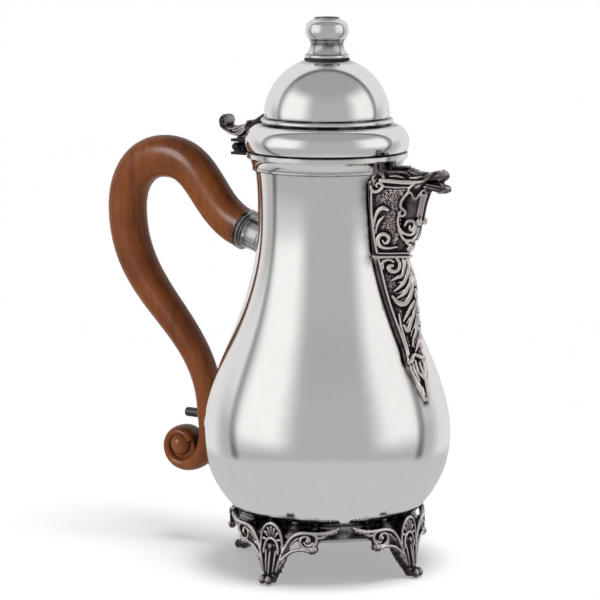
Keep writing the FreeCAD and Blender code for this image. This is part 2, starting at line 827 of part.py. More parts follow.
def palmette_ribs():
    """Fan of tapered ribs on the face of the palmette."""
    root = Vector(ring_radius() + FOOT_DEPTH, 0, RING_BOTTOM_Z - WING_BAND)
    ribs = []
    for i in range(PALMETTE_RIBS):
        angle = math.radians(180 * (i + 0.5) / PALMETTE_RIBS)
        tip = root + Vector(
            -PALMETTE_RIB_RADIUS / 2,
            PALMETTE_HALF_WIDTH * math.cos(angle) * PALMETTE_RIB_SHARE,
            PALMETTE_HEIGHT * math.sin(angle) * PALMETTE_RIB_SHARE,
        )
        ribs.append(Part.makeCone(
            PALMETTE_RIB_RADIUS / 2, PALMETTE_RIB_RADIUS, (tip - root).Length, root, tip - root))
        ribs.append(Part.makeSphere(PALMETTE_RIB_RADIUS, tip))
    return ribs


def leg():
    """Leg from the palmette down to the flat sole, leaning out to the toe."""
    top_z = RING_BOTTOM_Z - LEG_ARCH_DROP
    top_radius = ring_radius() + FOOT_DEPTH - LEG_HALF_DEPTH / 2
    wires = []
    for share in LEG_HEIGHT_SHARES:
        radius = TOE_CIRCLE_RADIUS + (top_radius - TOE_CIRCLE_RADIUS) * share ** LEG_LEAN_POWER
        half = LEG_ANKLE_HALF_WIDTH + (LEG_TOP_HALF_WIDTH - LEG_ANKLE_HALF_WIDTH) * share ** LEG_TAPER_POWER
        wires.append(oval(at(radius, top_z * share), X_AXIS * LEG_HALF_DEPTH, Y_AXIS * half))
    return Part.makeLoft(wires, True, False)


def toe_lobes():
    lobes = []
    for side in (-1, 1):
        lift = TOE_LOBE_RADIUS * TOE_LOBE_LIFT
        centre = Vector(TOE_CIRCLE_RADIUS + TOE_LOBE_REACH, side * TOE_LOBE_SPREAD, lift)
        lobes.append(Part.makeSphere(TOE_LOBE_RADIUS, centre))
    return lobes


def fretwork(faces, depth):
    """Flat outlines made into curved fretwork that stands out from the ring by a depth."""
    outer = ring_radius() + depth
    height = BASE_Z + OVERCUT
    shell = Part.makeCylinder(outer, height).cut(Part.makeCylinder(ring_radius() - RING_HOLLOW, height))
    return fused([face.extrude(X_AXIS * 2 * outer) for face in faces]).common(shell)


def foot(body_and_ring):
    """One foot on the +X side, seated on the ring and the body."""
    wings = fretwork(wing_faces(-1) + wing_faces(1), WING_DEPTH)
    palmette = fretwork([palmette_face()], FOOT_DEPTH)
    casting = fused([palmette, wings, leg()] + palmette_ribs() + toe_lobes())
    below = block(Vector(0, -OVERCUT * 2, -OVERCUT), Vector(2 * TOE_CIRCLE_RADIUS, OVERCUT * 2, 0))
    return casting.cut(below).cut(body_and_ring).removeSplitter()


# Handle and what holds it

def tilt_direction():
    tilt = math.radians(HANDLE_TOP_TILT)
    return Vector(-math.cos(tilt), 0, math.sin(tilt))


def collar_face():
    """Middle of the face where the grip meets the collar of the upper socket."""
    return Vector(-wall_radius(HANDLE_TOP_Z), 0, HANDLE_TOP_Z) + tilt_direction() * SOCKET_LENGTH


def throat():
    """Centre of the grip where the lower socket holds it."""
    out = wall_radius(HANDLE_FOOT_Z) + HANDLE_STANDOFF + HANDLE_THROAT_THICK / 2
    return Vector(-out, 0, HANDLE_FOOT_Z)


def volute_centre():
    return throat() + Vector(-VOLUTE_OUT, 0, -VOLUTE_DROP)


def grip_stations():
    """Centre, direction, thickness and depth of each section of the grip, from collar to volute."""
    start = collar_face()
    wall_x = -wall_radius(HANDLE_TOP_Z)
    crest = Vector(wall_x - HANDLE_CREST_OUT, 0, HANDLE_TOP_Z + HANDLE_CREST_RISE)
    reach = Vector(wall_x - HANDLE_REACH_OUT, 0, HANDLE_TOP_Z + HANDLE_REACH_RISE)
    foot_point = throat()
    down = Vector(0, 0, -1)
    out = Vector(-1, 0, 0)
    spans = (
        (start, tilt_direction(), crest, out, HANDLE_THICK, HANDLE_CREST_THICK, HANDLE_DEEP, HANDLE_DEEP),
        (crest, out, reach, down, HANDLE_CREST_THICK, HANDLE_THICK, HANDLE_DEEP, HANDLE_DEEP),
        (reach, down, foot_point, down, HANDLE_THICK, HANDLE_THROAT_THICK, HANDLE_DEEP, HANDLE_THROAT_DEEP),
    )
    stations = []
    for p, p_dir, q, q_dir, thick_0, thick_1, deep_0, deep_1 in spans:
        pull = (q - p).Length * HANDLE_PULL
        bend = Part.BezierCurve()
        bend.setPoles([p, p + p_dir * pull, q - q_dir * pull, q])
        for i in range(HANDLE_SECTIONS):
            t = i / HANDLE_SECTIONS
            thick = thick_0 + (thick_1 - thick_0) * t
            deep = deep_0 + (deep_1 - deep_0) * t
            stations.append((bend.value(t), bend.tangent(t)[0], thick, deep))
    return stations + volute_stations()


def volute_stations():
    """The lower end curls out and up round its eye in one narrowing turn."""
    centre = volute_centre()
    start = throat() - centre
    end_radius = VOLUTE_EYE_RADIUS + VOLUTE_GROOVE + VOLUTE_END_THICK / 2
    ring_radius_start = VOLUTE_RADIUS - VOLUTE_BAND_THICK / 2
    stations = []
    for i in range(VOLUTE_SECTIONS + 1):
        left = 1 - i / VOLUTE_SECTIONS
        angle = math.atan2(start.z, start.x) - VOLUTE_TURN * (1 - left)
        ring = end_radius + (ring_radius_start - end_radius) * left
        lead_in = start.Length - ring_radius_start
        radius = ring + lead_in * left ** VOLUTE_LEAD_IN
        slope = ring_radius_start - end_radius + VOLUTE_LEAD_IN * lead_in * left ** (VOLUTE_LEAD_IN - 1)
        radial = Vector(math.cos(angle), 0, math.sin(angle))
        along = Vector(math.sin(angle), 0, -math.cos(angle))
        direction = along * (radius * VOLUTE_TURN) - radial * slope
        band = VOLUTE_END_THICK + (VOLUTE_BAND_THICK - VOLUTE_END_THICK) * left ** VOLUTE_BAND_FADE
        thick = band + (HANDLE_THROAT_THICK - VOLUTE_BAND_THICK) * left ** VOLUTE_THROAT_FADE
        deep = VOLUTE_DEEP + (HANDLE_THROAT_DEEP - VOLUTE_DEEP) * left
        stations.append((centre + radial * radius, direction.normalize(), thick, deep))
    return stations


def volute_eye():
    """Core that fills the curl and the domed eye at its middle."""
    centre = volute_centre()
    core = Y_AXIS * (VOLUTE_CORE_DEEP / 2)
    dome = Y_AXIS * (VOLUTE_DEEP / 2 - VOLUTE_EYE_RADIUS / 2)
    return [
        rod(centre - core, centre + core, VOLUTE_RADIUS - VOLUTE_BAND_THICK / 2),
        rod(centre - dome, centre + dome, VOLUTE_EYE_RADIUS),
        Part.makeSphere(VOLUTE_EYE_RADIUS, centre - dome),
        Part.makeSphere(VOLUTE_EYE_RADIUS, centre + dome),
    ]


def tenon_radius():
    return SOCKET_RADIUS - SOCKET_WALL


def cross_pin():
    """Pin across the upper socket, through the tenon of the grip."""
    middle = collar_face() - tilt_direction() * (TENON_LENGTH / 2)
    half = Y_AXIS * (SOCKET_RADIUS + CROSS_PIN_PROUD)
    return rod(middle - half, middle + half, CROSS_PIN_RADIUS)


def upper_socket(body):
    """Tube from the neck to the grip, with a collar at its end."""
    end = collar_face()
    root = end - tilt_direction() * (SOCKET_LENGTH + SOCKET_RADIUS)
    tube = rod(root, end, SOCKET_RADIUS)
    collar = rod(end - tilt_direction() * COLLAR_LENGTH, end, COLLAR_RADIUS)
    bore = rod(root, end, tenon_radius())
    return fused([tube, collar]).cut([bore, body, cross_pin()])


def lower_socket_blank():
    """Round boss from the belly into its seat in the grip."""
    wall = wall_radius(HANDLE_FOOT_Z)
    root = Vector(-(wall - LOWER_SOCKET_RADIUS), 0, HANDLE_FOOT_Z)
    end = Vector(-(wall + HANDLE_STANDOFF + LOWER_SOCKET_SEAT), 0, HANDLE_FOOT_Z)
    return rod(root, end, LOWER_SOCKET_RADIUS)


def peg():
    """Dark peg driven through the grip into the lower socket, its round end left standing out."""
    seat_x = -(wall_radius(HANDLE_FOOT_Z) + HANDLE_STANDOFF + LOWER_SOCKET_SEAT)
    inner = Vector(seat_x + PEG_DEPTH, 0, HANDLE_FOOT_Z)
    outer = throat() - X_AXIS * (HANDLE_THROAT_THICK / 2 + PEG_PROUD - PEG_RADIUS)
    return fused([rod(inner, outer, PEG_RADIUS), Part.makeSphere(PEG_RADIUS, outer)])


def handle_grip():
    wires = []
    for centre, direction, thick, deep in grip_stations():
        side = direction.cross(Y_AXIS).normalize()
        wires.append(oval(centre, side * (thick / 2), Y_AXIS * (deep / 2)))
    grip = Part.makeLoft(wires, True, False)
    root = collar_face() - tilt_direction() * TENON_LENGTH
    tenon = rod(root, collar_face() + tilt_direction() * SOCKET_WALL, tenon_radius())
    return fused([grip, tenon] + volute_eye()).cut([cross_pin(), lower_socket_blank(), peg()])


def save(name, shape):
    """Write one piece, made of whole solids only."""
    solids = shape.Solids
    whole = solids[0] if len(solids) == 1 else Part.makeCompound(solids)
    whole.exportStep("parts/%s.step" % name)
    print("%-18s solids %d valid %s volume %.1f" % (name, len(solids), whole.isValid(), whole.Volume))


def main():
    os.makedirs("parts", exist_ok=True)
    body = body_filled()
    body_and_rim = fused([body, rim_filled()])
    neck_wall = body.cut(body_hollow())

    save("body_shell", neck_wall.cut(strainer_opening()))
    save("spout_strainer", neck_wall.common(strainer_opening()).cut(strainer_holes()))
    save("rim_band", rim_band())
    save("lid_shell", lid_shell())
    save("lid_bezel", lid_bezel())
    save("finial", finial())
    save("finial_gasket", finial_gasket())
    save("finial_washer", finial_washer())
    save("finial_nut", finial_nut())
    save("hinge_body_leaf", hinge_body_leaf(body_and_rim))
    save("hinge_lid_leaf", hinge_lid_leaf())
    save("hinge_pin", hinge_pin())
    save("thumbpiece", thumbpiece())
    whole_spout = spout(body_and_rim)
    save("spout_left_half", half_of(whole_spout, 1))
    save("spout_right_half", half_of(whole_spout, -1))
    save("spout_drop", spout_drop(body))
    save("foot_ring", ring_turned(ring_radius() - RING_WALL))
    one_foot = foot(fused([body, ring_turned(0)]))
    for i, name in enumerate(("foot_spout_side", "foot_left", "foot_handle_side", "foot_right")):
        turned_foot = one_foot.copy()
        turned_foot.rotate(ORIGIN, Z_AXIS, 360 / FOOT_COUNT * i)
        save(name, turned_foot)
    save("handle_grip", handle_grip())
    save("upper_socket", upper_socket(body))
    save("upper_socket_pin", cross_pin())
    save("lower_socket", lower_socket_blank().cut([body, peg()]))
    save("lower_peg", peg())


main()
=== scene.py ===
import math
import random

import bmesh
import bpy
import numpy as np
from bpy.props import FloatProperty, FloatVectorProperty, PointerProperty
from mathutils import Matrix, Vector


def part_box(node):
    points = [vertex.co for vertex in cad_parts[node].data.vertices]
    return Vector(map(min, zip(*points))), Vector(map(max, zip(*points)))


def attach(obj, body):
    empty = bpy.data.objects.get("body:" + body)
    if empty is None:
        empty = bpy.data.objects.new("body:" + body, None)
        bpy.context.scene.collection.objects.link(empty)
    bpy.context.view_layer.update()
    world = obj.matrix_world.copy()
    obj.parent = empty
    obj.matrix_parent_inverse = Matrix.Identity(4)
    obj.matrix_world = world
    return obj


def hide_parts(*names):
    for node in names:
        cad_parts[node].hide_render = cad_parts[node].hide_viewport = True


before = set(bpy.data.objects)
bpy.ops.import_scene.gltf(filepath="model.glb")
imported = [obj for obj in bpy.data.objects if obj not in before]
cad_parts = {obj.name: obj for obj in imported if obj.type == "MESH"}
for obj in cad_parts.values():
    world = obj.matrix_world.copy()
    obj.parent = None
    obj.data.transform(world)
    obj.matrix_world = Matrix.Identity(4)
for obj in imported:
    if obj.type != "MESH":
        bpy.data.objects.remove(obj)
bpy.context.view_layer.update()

bl_info = {
    "name": "Coffee Pot",
    "version": (1, 0, 0),
    "blender": (4, 5, 0),
    "location": "3D View > Sidebar > Coffee Pot",
    "description": "Turned silver, cast ornament, wood handle and stage of a coffee pot",
    "category": "Add Mesh",
}

MM = 0.001


def side_of(node, axis, end):
    """One side of a solid's box in millimetres: axis 0 to 2, end 0 low or 1 high."""
    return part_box(node)[end][axis] / MM


BASE_Z = side_of("body_shell", 2, 0)
RIM_Z = side_of("rim_band", 2, 1)
LID_Z = side_of("lid_shell", 2, 0)
DOME_TOP_Z = side_of("lid_shell", 2, 1)
FINIAL_TOP_Z = side_of("finial", 2, 1)


# Sizes and colours that a user may change

def length(name, description, default):
    """A size, given here in millimetres and kept in metres."""
    return FloatProperty(
        name=name, description=description, default=default * MM, unit="LENGTH", precision=5)


def colour(name, description, default):
    return FloatVectorProperty(
        name=name, description=description, default=default, subtype="COLOR", size=3, min=0.0, max=1.0)


def share(name, description, default):
    return FloatProperty(
        name=name, description=description, default=default, subtype="FACTOR", min=0.0, max=2.0)


class BodySizes(bpy.types.PropertyGroup):
    """Outline of the raised body and its rim."""
    base_radius: length("Base radius", "Radius of the flat bottom", 40.5)
    belly_radius: length("Belly radius", "Largest radius of the body", side_of("body_shell", 1, 1))
    belly_z: length("Belly height", "Height of the largest radius", 59.0)
    waist_radius: length("Waist radius", "Radius half way up the taper", 41.6)
    waist_z: length("Waist height", "Height half way up the taper", 102.5)
    neck_radius: length("Neck radius", "Smallest radius of the body", 30.0)
    neck_z: length("Neck height", "Height of the smallest radius", 152.0)
    mouth_radius: length("Mouth radius", "Radius of the body at the rim", 32.9)
    wall: length("Wall", "Thickness of the raised silver", 1.1)
    rim_radius: length("Rim radius", "Outer radius of the rim band", side_of("rim_band", 1, 1))
    rim_height: length("Rim height", "Height of the rim band", 7.8)


class LidSizes(bpy.types.PropertyGroup):
    """Domed lid and its finial."""
    radius: length("Lid radius", "Outer radius of the shoulder", side_of("lid_shell", 1, 1))
    shoulder_radius: length("Shoulder round", "Radius of the round shoulder", 7.6)
    shoulder_rise: length("Shoulder rise", "Height of the widest place over the lid's edge", 4.0)
    step_width: length("Step width", "How far the step stands out from the dome", 1.4)
    dome_radius: length("Dome radius", "Radius of the dome at its foot", 27.2)
    dome_rise: length("Dome rise", "Height of the dome over its foot", 25.6)
    wall: length("Lid wall", "Thickness of the lid", 1.1)
    finial_base: length("Finial base", "Radius of the finial's foot", 9.5)
    finial_waist: length("Finial waist", "Smallest radius of the finial", 7.1)
    finial_knob: length("Finial knob", "Largest radius of the knob", 9.3)
    finial_top: length("Finial top", "Radius of the flat top", 5.5)


class CastingSizes(bpy.types.PropertyGroup):
    """Cast spout, drop, feet and thumbpiece."""
    grain: length("Grain", "Finest detail that the casting keeps", 0.23)
    ground: length("Ground", "Depth of the ground under the ornament", 0.8)


class HandleSizes(bpy.types.PropertyGroup):
    """Carved wood handle."""
    thick: length("Thickness", "Thickness of the grip in its own plane", 17.8)
    crest_thick: length("Crest thickness", "Thickness at the top of the bend", 19.0)
    throat_thick: length("Throat thickness", "Thickness at the lower socket", 11.6)
    deep: length("Depth", "Width of the grip across", 15.6)
    throat_deep: length("Throat depth", "Width across at the lower socket", 12.4)
    volute_radius: length("Volute radius", "Outer radius of the curl", 11.2)
    volute_band: length("Volute band", "Thickness of the curl's band", 6.6)
    eye_radius: length("Eye radius", "Radius of the ball in the curl", 5.3)


class FinishColours(bpy.types.PropertyGroup):
    """Silver, wood and black."""
    silver: colour("Silver", "Clean polished silver", (0.93, 0.922, 0.90))
    # also the colour that the painted shade lines on the turned silver are blended to
    tarnish: colour("Tarnish", "Old tarnish in corners of the plain silver", (0.050, 0.040, 0.046))
    ridge: colour("Ridge", "Rubbed high places of the castings", (0.95, 0.885, 0.86))
    hollow: colour("Hollow", "Black oxide in the hollows of the castings", (0.027, 0.017, 0.019))
    wood_light: colour("Light wood", "Early wood of the handle", (0.238, 0.068, 0.013))
    wood_dark: colour("Dark wood", "Late wood and pores of the handle", (0.150, 0.041, 0.010))
    black: colour("Black", "Stained peg and leather gasket", (0.012, 0.011, 0.011))


class StageSettings(bpy.types.PropertyGroup):
    """Floor, lamps and camera."""
    floor: colour("Floor", "Colour of the floor", (0.90, 0.90, 0.90))
    floor_glow: share("Floor glow", "Light that the floor gives back in its own shadow", 0.33)
    table: length("Table", "How far the table reaches in reflections", 262.0)
    table_glow: share("Table glow", "Brightness of the table in reflections", 0.57)
    panel: share("Panels", "Brightness of the two light panels", 0.97)
    room: share("Room", "Brightness of the room behind the camera", 0.46)
    backdrop: share("Backdrop", "Brightness of the backdrop in reflections", 0.77)
    ambient: share("Ambient", "Soft light on wood, leather and floor", 0.2)
    distance: length("Camera distance", "Distance of the camera from the pot's axis", 1190.0)
    height: length("Camera height", "Height of the camera", 305.0)
    turn: FloatProperty(
        name="Camera turn", description="Turn of the camera round the pot",
        default=math.radians(34.0), subtype="ANGLE")
    tilt: FloatProperty(
        name="Camera tilt", description="Tilt of the camera below level",
        default=math.radians(8.95), subtype="ANGLE")


class Millimetres:
    """Reads the lengths of a property group in millimetres."""

    def __init__(self, group):
        self.group = group

    def __getattr__(self, key):
        return getattr(self.group, key) / MM


# Lines and outlines

def through(points, steps=8):
    """Smooth line through points, with the same number of steps in each span."""
    spots = np.array(points, float)
    ends = np.vstack([2 * spots[0] - spots[1], spots, 2 * spots[-1] - spots[-2]])
    line = []
    for k in range(len(spots) - 1):
        a, b, c, d = ends[k:k + 4]
        for t in np.arange(steps) / steps:
            bend = 2 * a - 5 * b + 4 * c - d + t * (3 * b - a - 3 * c + d)
            line.append(b + 0.5 * t * (c - a + t * bend))
    line.append(spots[-1])
    return np.array(line)


def arc(start, middle, end, steps=16):
    """Points of the circle through three points."""
    (ax, ay), (bx, by), (cx, cy) = start, middle, end
    d = 2 * (ax * (by - cy) + bx * (cy - ay) + cx * (ay - by))
    a2, b2, c2 = ax * ax + ay * ay, bx * bx + by * by, cx * cx + cy * cy
    ux = (a2 * (by - cy) + b2 * (cy - ay) + c2 * (ay - by)) / d
    uy = (a2 * (cx - bx) + b2 * (ax - cx) + c2 * (bx - ax)) / d
    radius = math.hypot(ax - ux, ay - uy)
    first, mid, last = (math.atan2(y - uy, x - ux) for x, y in (start, middle, end))
    turn = (last - first) % (2 * math.pi)
    if (mid - first) % (2 * math.pi) > turn:
        turn -= 2 * math.pi
    angles = [first + turn * k / steps for k in range(steps + 1)]
    return [(ux + radius * math.cos(a), uy + radius * math.sin(a)) for a in angles]


def soften(outline, radius, steps=4):
    """An outline with its sharp corners rounded off."""
    spots = [np.array(p, float) for p in outline]
    soft = [spots[0]]
    for a, b, c in zip(spots, spots[1:], spots[2:]):
        back, on = a - b, c - b
        back_length, on_length = np.linalg.norm(back), np.linalg.norm(on)
        if back @ on < -0.94 * back_length * on_length:
            soft.append(b)
            continue
        cut = min(radius, 0.45 * back_length, 0.45 * on_length)
        start = b + back / back_length * cut
        end = b + on / on_length * cut
        for t in np.linspace(0, 1, steps + 1):
            soft.append((1 - t) ** 2 * start + 2 * t * (1 - t) * b + t * t * end)
    soft.append(spots[-1])
    return soft


def closely(outline, step=0.4):
    """The same outline with points no farther apart than the step."""
    close = [tuple(outline[0])]
    for a, b in zip(outline, outline[1:]):
        parts = max(1, math.ceil(math.dist(a, b) / step))
        for k in range(1, parts + 1):
            close.append((a[0] + (b[0] - a[0]) * k / parts, a[1] + (b[1] - a[1]) * k / parts))
    return close


def squarish(count, power):
    """Corners of a section of half width and half height 1: round for power 1, squarer for less."""
    section = []
    for k in range(count):
        angle = 2 * math.pi * k / count
        c, s = math.cos(angle), math.sin(angle)
        section.append((math.copysign(abs(c) ** power, c), math.copysign(abs(s) ** power, s)))
    return section


class Wall:
    """Outline of the body: its radius at any height."""

    def __init__(self, sizes):
        stations = (
            (BASE_Z, sizes.base_radius, 0.97),
            (sizes.belly_z, sizes.belly_radius, 0.0),
            (sizes.waist_z, sizes.waist_radius, -0.427),
            (sizes.neck_z, sizes.neck_radius, 0.0),
            (RIM_Z, sizes.mouth_radius, 0.281),
        )
        self.heights = np.linspace(BASE_Z, RIM_Z, 640)
        radii = np.empty_like(self.heights)
        for (z0, r0, m0), (z1, r1, m1) in zip(stations, stations[1:]):
            part = (self.heights >= z0) & (self.heights <= z1)
            run = z1 - z0
            t = (self.heights[part] - z0) / run
            radii[part] = (
                (2 * t ** 3 - 3 * t ** 2 + 1) * r0 + (t ** 3 - 2 * t ** 2 + t) * run * m0
                + (3 * t ** 2 - 2 * t ** 3) * r1 + (t ** 3 - t ** 2) * run * m1)
        self.radii = self.planish(radii)

    def planish(self, radii, spread=14, reach=40):
        """Evens out the curvature, as the hammer does, with the ends held."""
        low = radii[0] + (radii[1] - radii[0]) * np.arange(-reach, 0)
        high = radii[-1] + (radii[-1] - radii[-2]) * np.arange(1, reach + 1)
        weights = np.exp(-0.5 * (np.arange(-reach, reach + 1) / spread) ** 2)
        return np.convolve(np.concatenate([low, radii, high]), weights / weights.sum(), mode="valid")

    def radius(self, z):
        return float(np.interp(z, self.heights, self.radii))


# Meshes

def turned(outline, segments=240):
    """Corners and faces of an outline of radius and height turned about the upright axis."""
    corners = []
    rows = []
    for radius, z in outline:
        first = len(corners)
        if radius < 1e-6:
            corners.append((0.0, 0.0, z))
            rows.append([first])
            continue
        for k in range(segments):
            angle = 2 * math.pi * k / segments
            corners.append((radius * math.cos(angle), radius * math.sin(angle), z))
        rows.append(range(first, first + segments))
    faces = []
    for low, high in zip(rows, rows[1:]):
        for k in range(segments):
            n = (k + 1) % segments
            ring = (low[k % len(low)], low[n % len(low)], high[n % len(high)], high[k % len(high)])
            faces.append(tuple(dict.fromkeys(ring)))
    return corners, faces


def set_on_axis(corners, origin, direction):
    """Corners of a turned piece moved from the upright axis to another one."""
    turn = Vector((0, 0, 1)).rotation_difference(Vector(direction)).to_matrix()
    return [tuple(turn @ Vector(c) + Vector(origin)) for c in corners]


def shown(name, mesh, finish, crease=35.0):
    """A new object for a mesh, smooth but for its sharp edges."""
    mesh.shade_smooth()
    mesh.set_sharp_from_angle(angle=math.radians(crease))
    mesh.materials.clear()
    mesh.materials.append(finish)
    piece = bpy.data.objects.new(name, mesh)
    bpy.context.scene.collection.objects.link(piece)
    return piece


def mesh_of(name, corners, faces):
    mesh = bpy.data.meshes.new(name)
    mesh.from_pydata([(x * MM, y * MM, z * MM) for x, y, z in corners], [], faces)
    mesh.update()
    return mesh


def turned_piece(name, outline, finish, segments=240, origin=None, direction=None, stains_and_shade=()):
    """Turned piece; its dark lines, partly tarnish and partly painted shade in grooves, gaps and under
    edges, are given as height, half width and strength.
    """
    corners, faces = turned(outline, segments)
    dark = np.zeros(len(corners))
    heights = np.array([corner[2] for corner in corners])
    for height, half, strength in stains_and_shade:
        dark = np.maximum(dark, strength * np.exp(-(((heights - height) / half) ** 2)))
    if origin is not None:
        corners = set_on_axis(corners, origin, direction)
    mesh = mesh_of(name, corners, faces)
    store = mesh.attributes.new("stain_and_shade", "FLOAT", "POINT")
    store.data.foreach_set("value", dark.astype(np.float32))
    return shown(name, mesh, finish)


def fit(piece, body, slot, *nodes):
    """Fixes a piece to its body in place of its solids."""
    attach(piece, body)
    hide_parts(*nodes)


def dress(node, finish, edge=0.0):
    """Gives a solid that stays in view its finish and soft edges."""
    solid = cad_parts[node]
    solid.data.materials.clear()
    solid.data.materials.append(finish)
    if edge:
        bevel = solid.modifiers.new("Soft edges", "BEVEL")
        bevel.width = edge * MM
        bevel.segments = 2
        bevel.limit_method = "ANGLE"
        bevel.angle_limit = math.radians(40)


class Casting:
    """Rough rods, balls and blocks that are melted into one cast piece."""

    def __init__(self):
        self.corners = []
        self.faces = []

    def add(self, corners, faces):
        first = len(self.corners)
        self.corners.extend(tuple(float(v) for v in c) for c in corners)
        self.faces.extend(tuple(first + i for i in face) for face in faces)

    def loft(self, sections):
        """Solid through closed sections that have equally many corners."""
        count = len(sections[0])
        corners = [corner for section in sections for corner in section]
        faces = [tuple(reversed(range(count)))]
        for k in range(len(sections) - 1):
            for i in range(count):
                j = (i + 1) % count
                faces.append((k * count + i, k * count + j, (k + 1) * count + j, (k + 1) * count + i))
        faces.append(tuple(range(len(corners) - count, len(corners))))
        self.add(corners, faces)

    def rod(self, line, radii, sides=10):
        """Round rod with domed ends along a line; the radii are spread evenly over it."""
        spots = np.array(line, float)
        along = np.gradient(spots, axis=0)
        along /= np.linalg.norm(along, axis=1, keepdims=True) + 1e-12
        size = np.interp(np.linspace(0, 1, len(spots)), np.linspace(0, 1, len(radii)), radii)
        # domed ends: share of the radius ahead and across
        dome = ((0.7, 0.7), (0.98, 0.2))
        rings = [(spots[0] - along[0] * size[0] * c, along[0], size[0] * s) for c, s in dome[::-1]]
        rings += list(zip(spots, along, size))
        rings += [(spots[-1] + along[-1] * size[-1] * c, along[-1], size[-1] * s) for c, s in dome]
        across = np.cross(along[0], (0.31, 0.52, 0.79))
        sections = []
        for spot, ahead, radius in rings:
            across = across - ahead * (across @ ahead)
            across /= np.linalg.norm(across)
            beside = np.cross(ahead, across)
            angles = [2 * math.pi * k / sides for k in range(sides)]
            sections.append([spot + radius * (across * math.cos(a) + beside * math.sin(a)) for a in angles])
        self.loft(sections)

    def bar(self, stations, base_z, count, power):
        """Solid through stations of x, low, high and half width, with heights over a base."""
        sections = []
        for x, low, high, half in stations:
            middle, swell = base_z + (low + high) / 2, (high - low) / 2
            sections.append([(x, half * c, middle + swell * s) for c, s in squarish(count, power)])
        self.loft(sections)

    def stroke(self, places, radii, base_z, side=1):
        """Rod through places of x, y and height over a base, or through their mirror images."""
        self.rod(through([(x, side * y, base_z + rise) for x, y, rise in places], 6), radii)

    def ball(self, centre, radius):
        up = np.array((0.0, 0.0, 0.2 * radius))
        self.rod([np.array(centre, float) - up, np.array(centre, float) + up], [radius * 0.96], sides=12)

    def melt(self, name, grain, tone, polish=3):
        """One mesh of everything, fused at the given grain and lightly polished.

        Tone tells for places in millimetres and normals how dark the silver is, 0 to 1: partly tarnish,
        partly painted highlight and shade by which way the surface faces."""
        rough = bpy.data.objects.new(name, mesh_of(name, self.corners, self.faces))
        bpy.context.scene.collection.objects.link(rough)
        fuse = rough.modifiers.new("Fuse", "REMESH")
        fuse.mode = "VOXEL"
        fuse.voxel_size = grain * MM
        rub = rough.modifiers.new("Rub", "SMOOTH")
        rub.factor = 0.5
        rub.iterations = polish
        graph = bpy.context.evaluated_depsgraph_get()
        mesh = bpy.data.meshes.new_from_object(rough.evaluated_get(graph))
        mesh.name = name
        bpy.data.objects.remove(rough)
        if len(mesh.polygons) < 100:
            raise RuntimeError("the casting %s did not fuse" % name)
        mark_relief(mesh)
        places, normals = points_of(mesh)
        dark = tone(places, normals) + np.zeros(len(places))
        store = mesh.attributes.new("tone", "FLOAT", "POINT")
        store.data.foreach_set("value", dark.astype(np.float32))
        return mesh


def points_of(mesh):
    """Places of a mesh's points in millimetres, and its normals."""
    places = np.empty(len(mesh.vertices) * 3)
    mesh.vertices.foreach_get("co", places)
    normals = np.empty(len(mesh.vertices) * 3)
    mesh.vertices.foreach_get("normal", normals)
    return places.reshape(-1, 3) / MM, normals.reshape(-1, 3)


def mark_relief(mesh, near=9, far=80):
    """Stores how far each point stands above or below its near and far surroundings, in millimetres."""
    count = len(mesh.vertices)
    spots, normals = points_of(mesh)
    edges = np.empty(len(mesh.edges) * 2, int)
    mesh.edges.foreach_get("vertices", edges)
    a, b = edges.reshape(-1, 2).T
    ends = np.concatenate([a, b])
    others = np.concatenate([b, a])
    degree = np.maximum(np.bincount(ends, minlength=count), 1)
    even = spots.copy()
    relief = np.zeros(count)
    for step in range(1, far + 1):
        even = np.stack([np.bincount(ends, even[others, k], count) / degree for k in range(3)], axis=1)
        if step in (near, far):
            relief += ((spots - even) * normals).sum(axis=1)
    store = mesh.attributes.new("relief", "FLOAT", "POINT")
    store.data.foreach_set("value", relief.astype(np.float32))


def half_mesh(mesh, name, side):
    """The part of a cast mesh on one side of the middle plane; side 1 is its mirror image."""
    work = bmesh.new()
    work.from_mesh(mesh)
    everything = list(work.verts) + list(work.edges) + list(work.faces)
    bmesh.ops.bisect_plane(work, geom=everything, plane_co=(0, 0, 0), plane_no=(0, 1, 0), clear_outer=True)
    if side > 0:
        bmesh.ops.transform(work, matrix=Matrix.Scale(-1, 4, (0, 1, 0)), verts=work.verts)
        bmesh.ops.reverse_faces(work, faces=work.faces)
    half = bpy.data.meshes.new(name)
    work.to_mesh(half)
    work.free()
    return half


# Finishes

def feed_socket(tree, socket, value):
    """Links a socket to the output of another node, or sets its constant value."""
    if isinstance(value, bpy.types.NodeSocket):
        tree.links.new(value, socket)
    else:
        socket.default_value = value


def add_node(tree, kind, settings=None, inputs=()):
    """A new node; inputs are pairs of a socket's name or number and what it takes."""
    made = tree.nodes.new("ShaderNode" + kind)
    for key, value in (settings or {}).items():
        setattr(made, key, value)
    for key, value in inputs:
        feed_socket(tree, made.inputs[key], value)
    return made


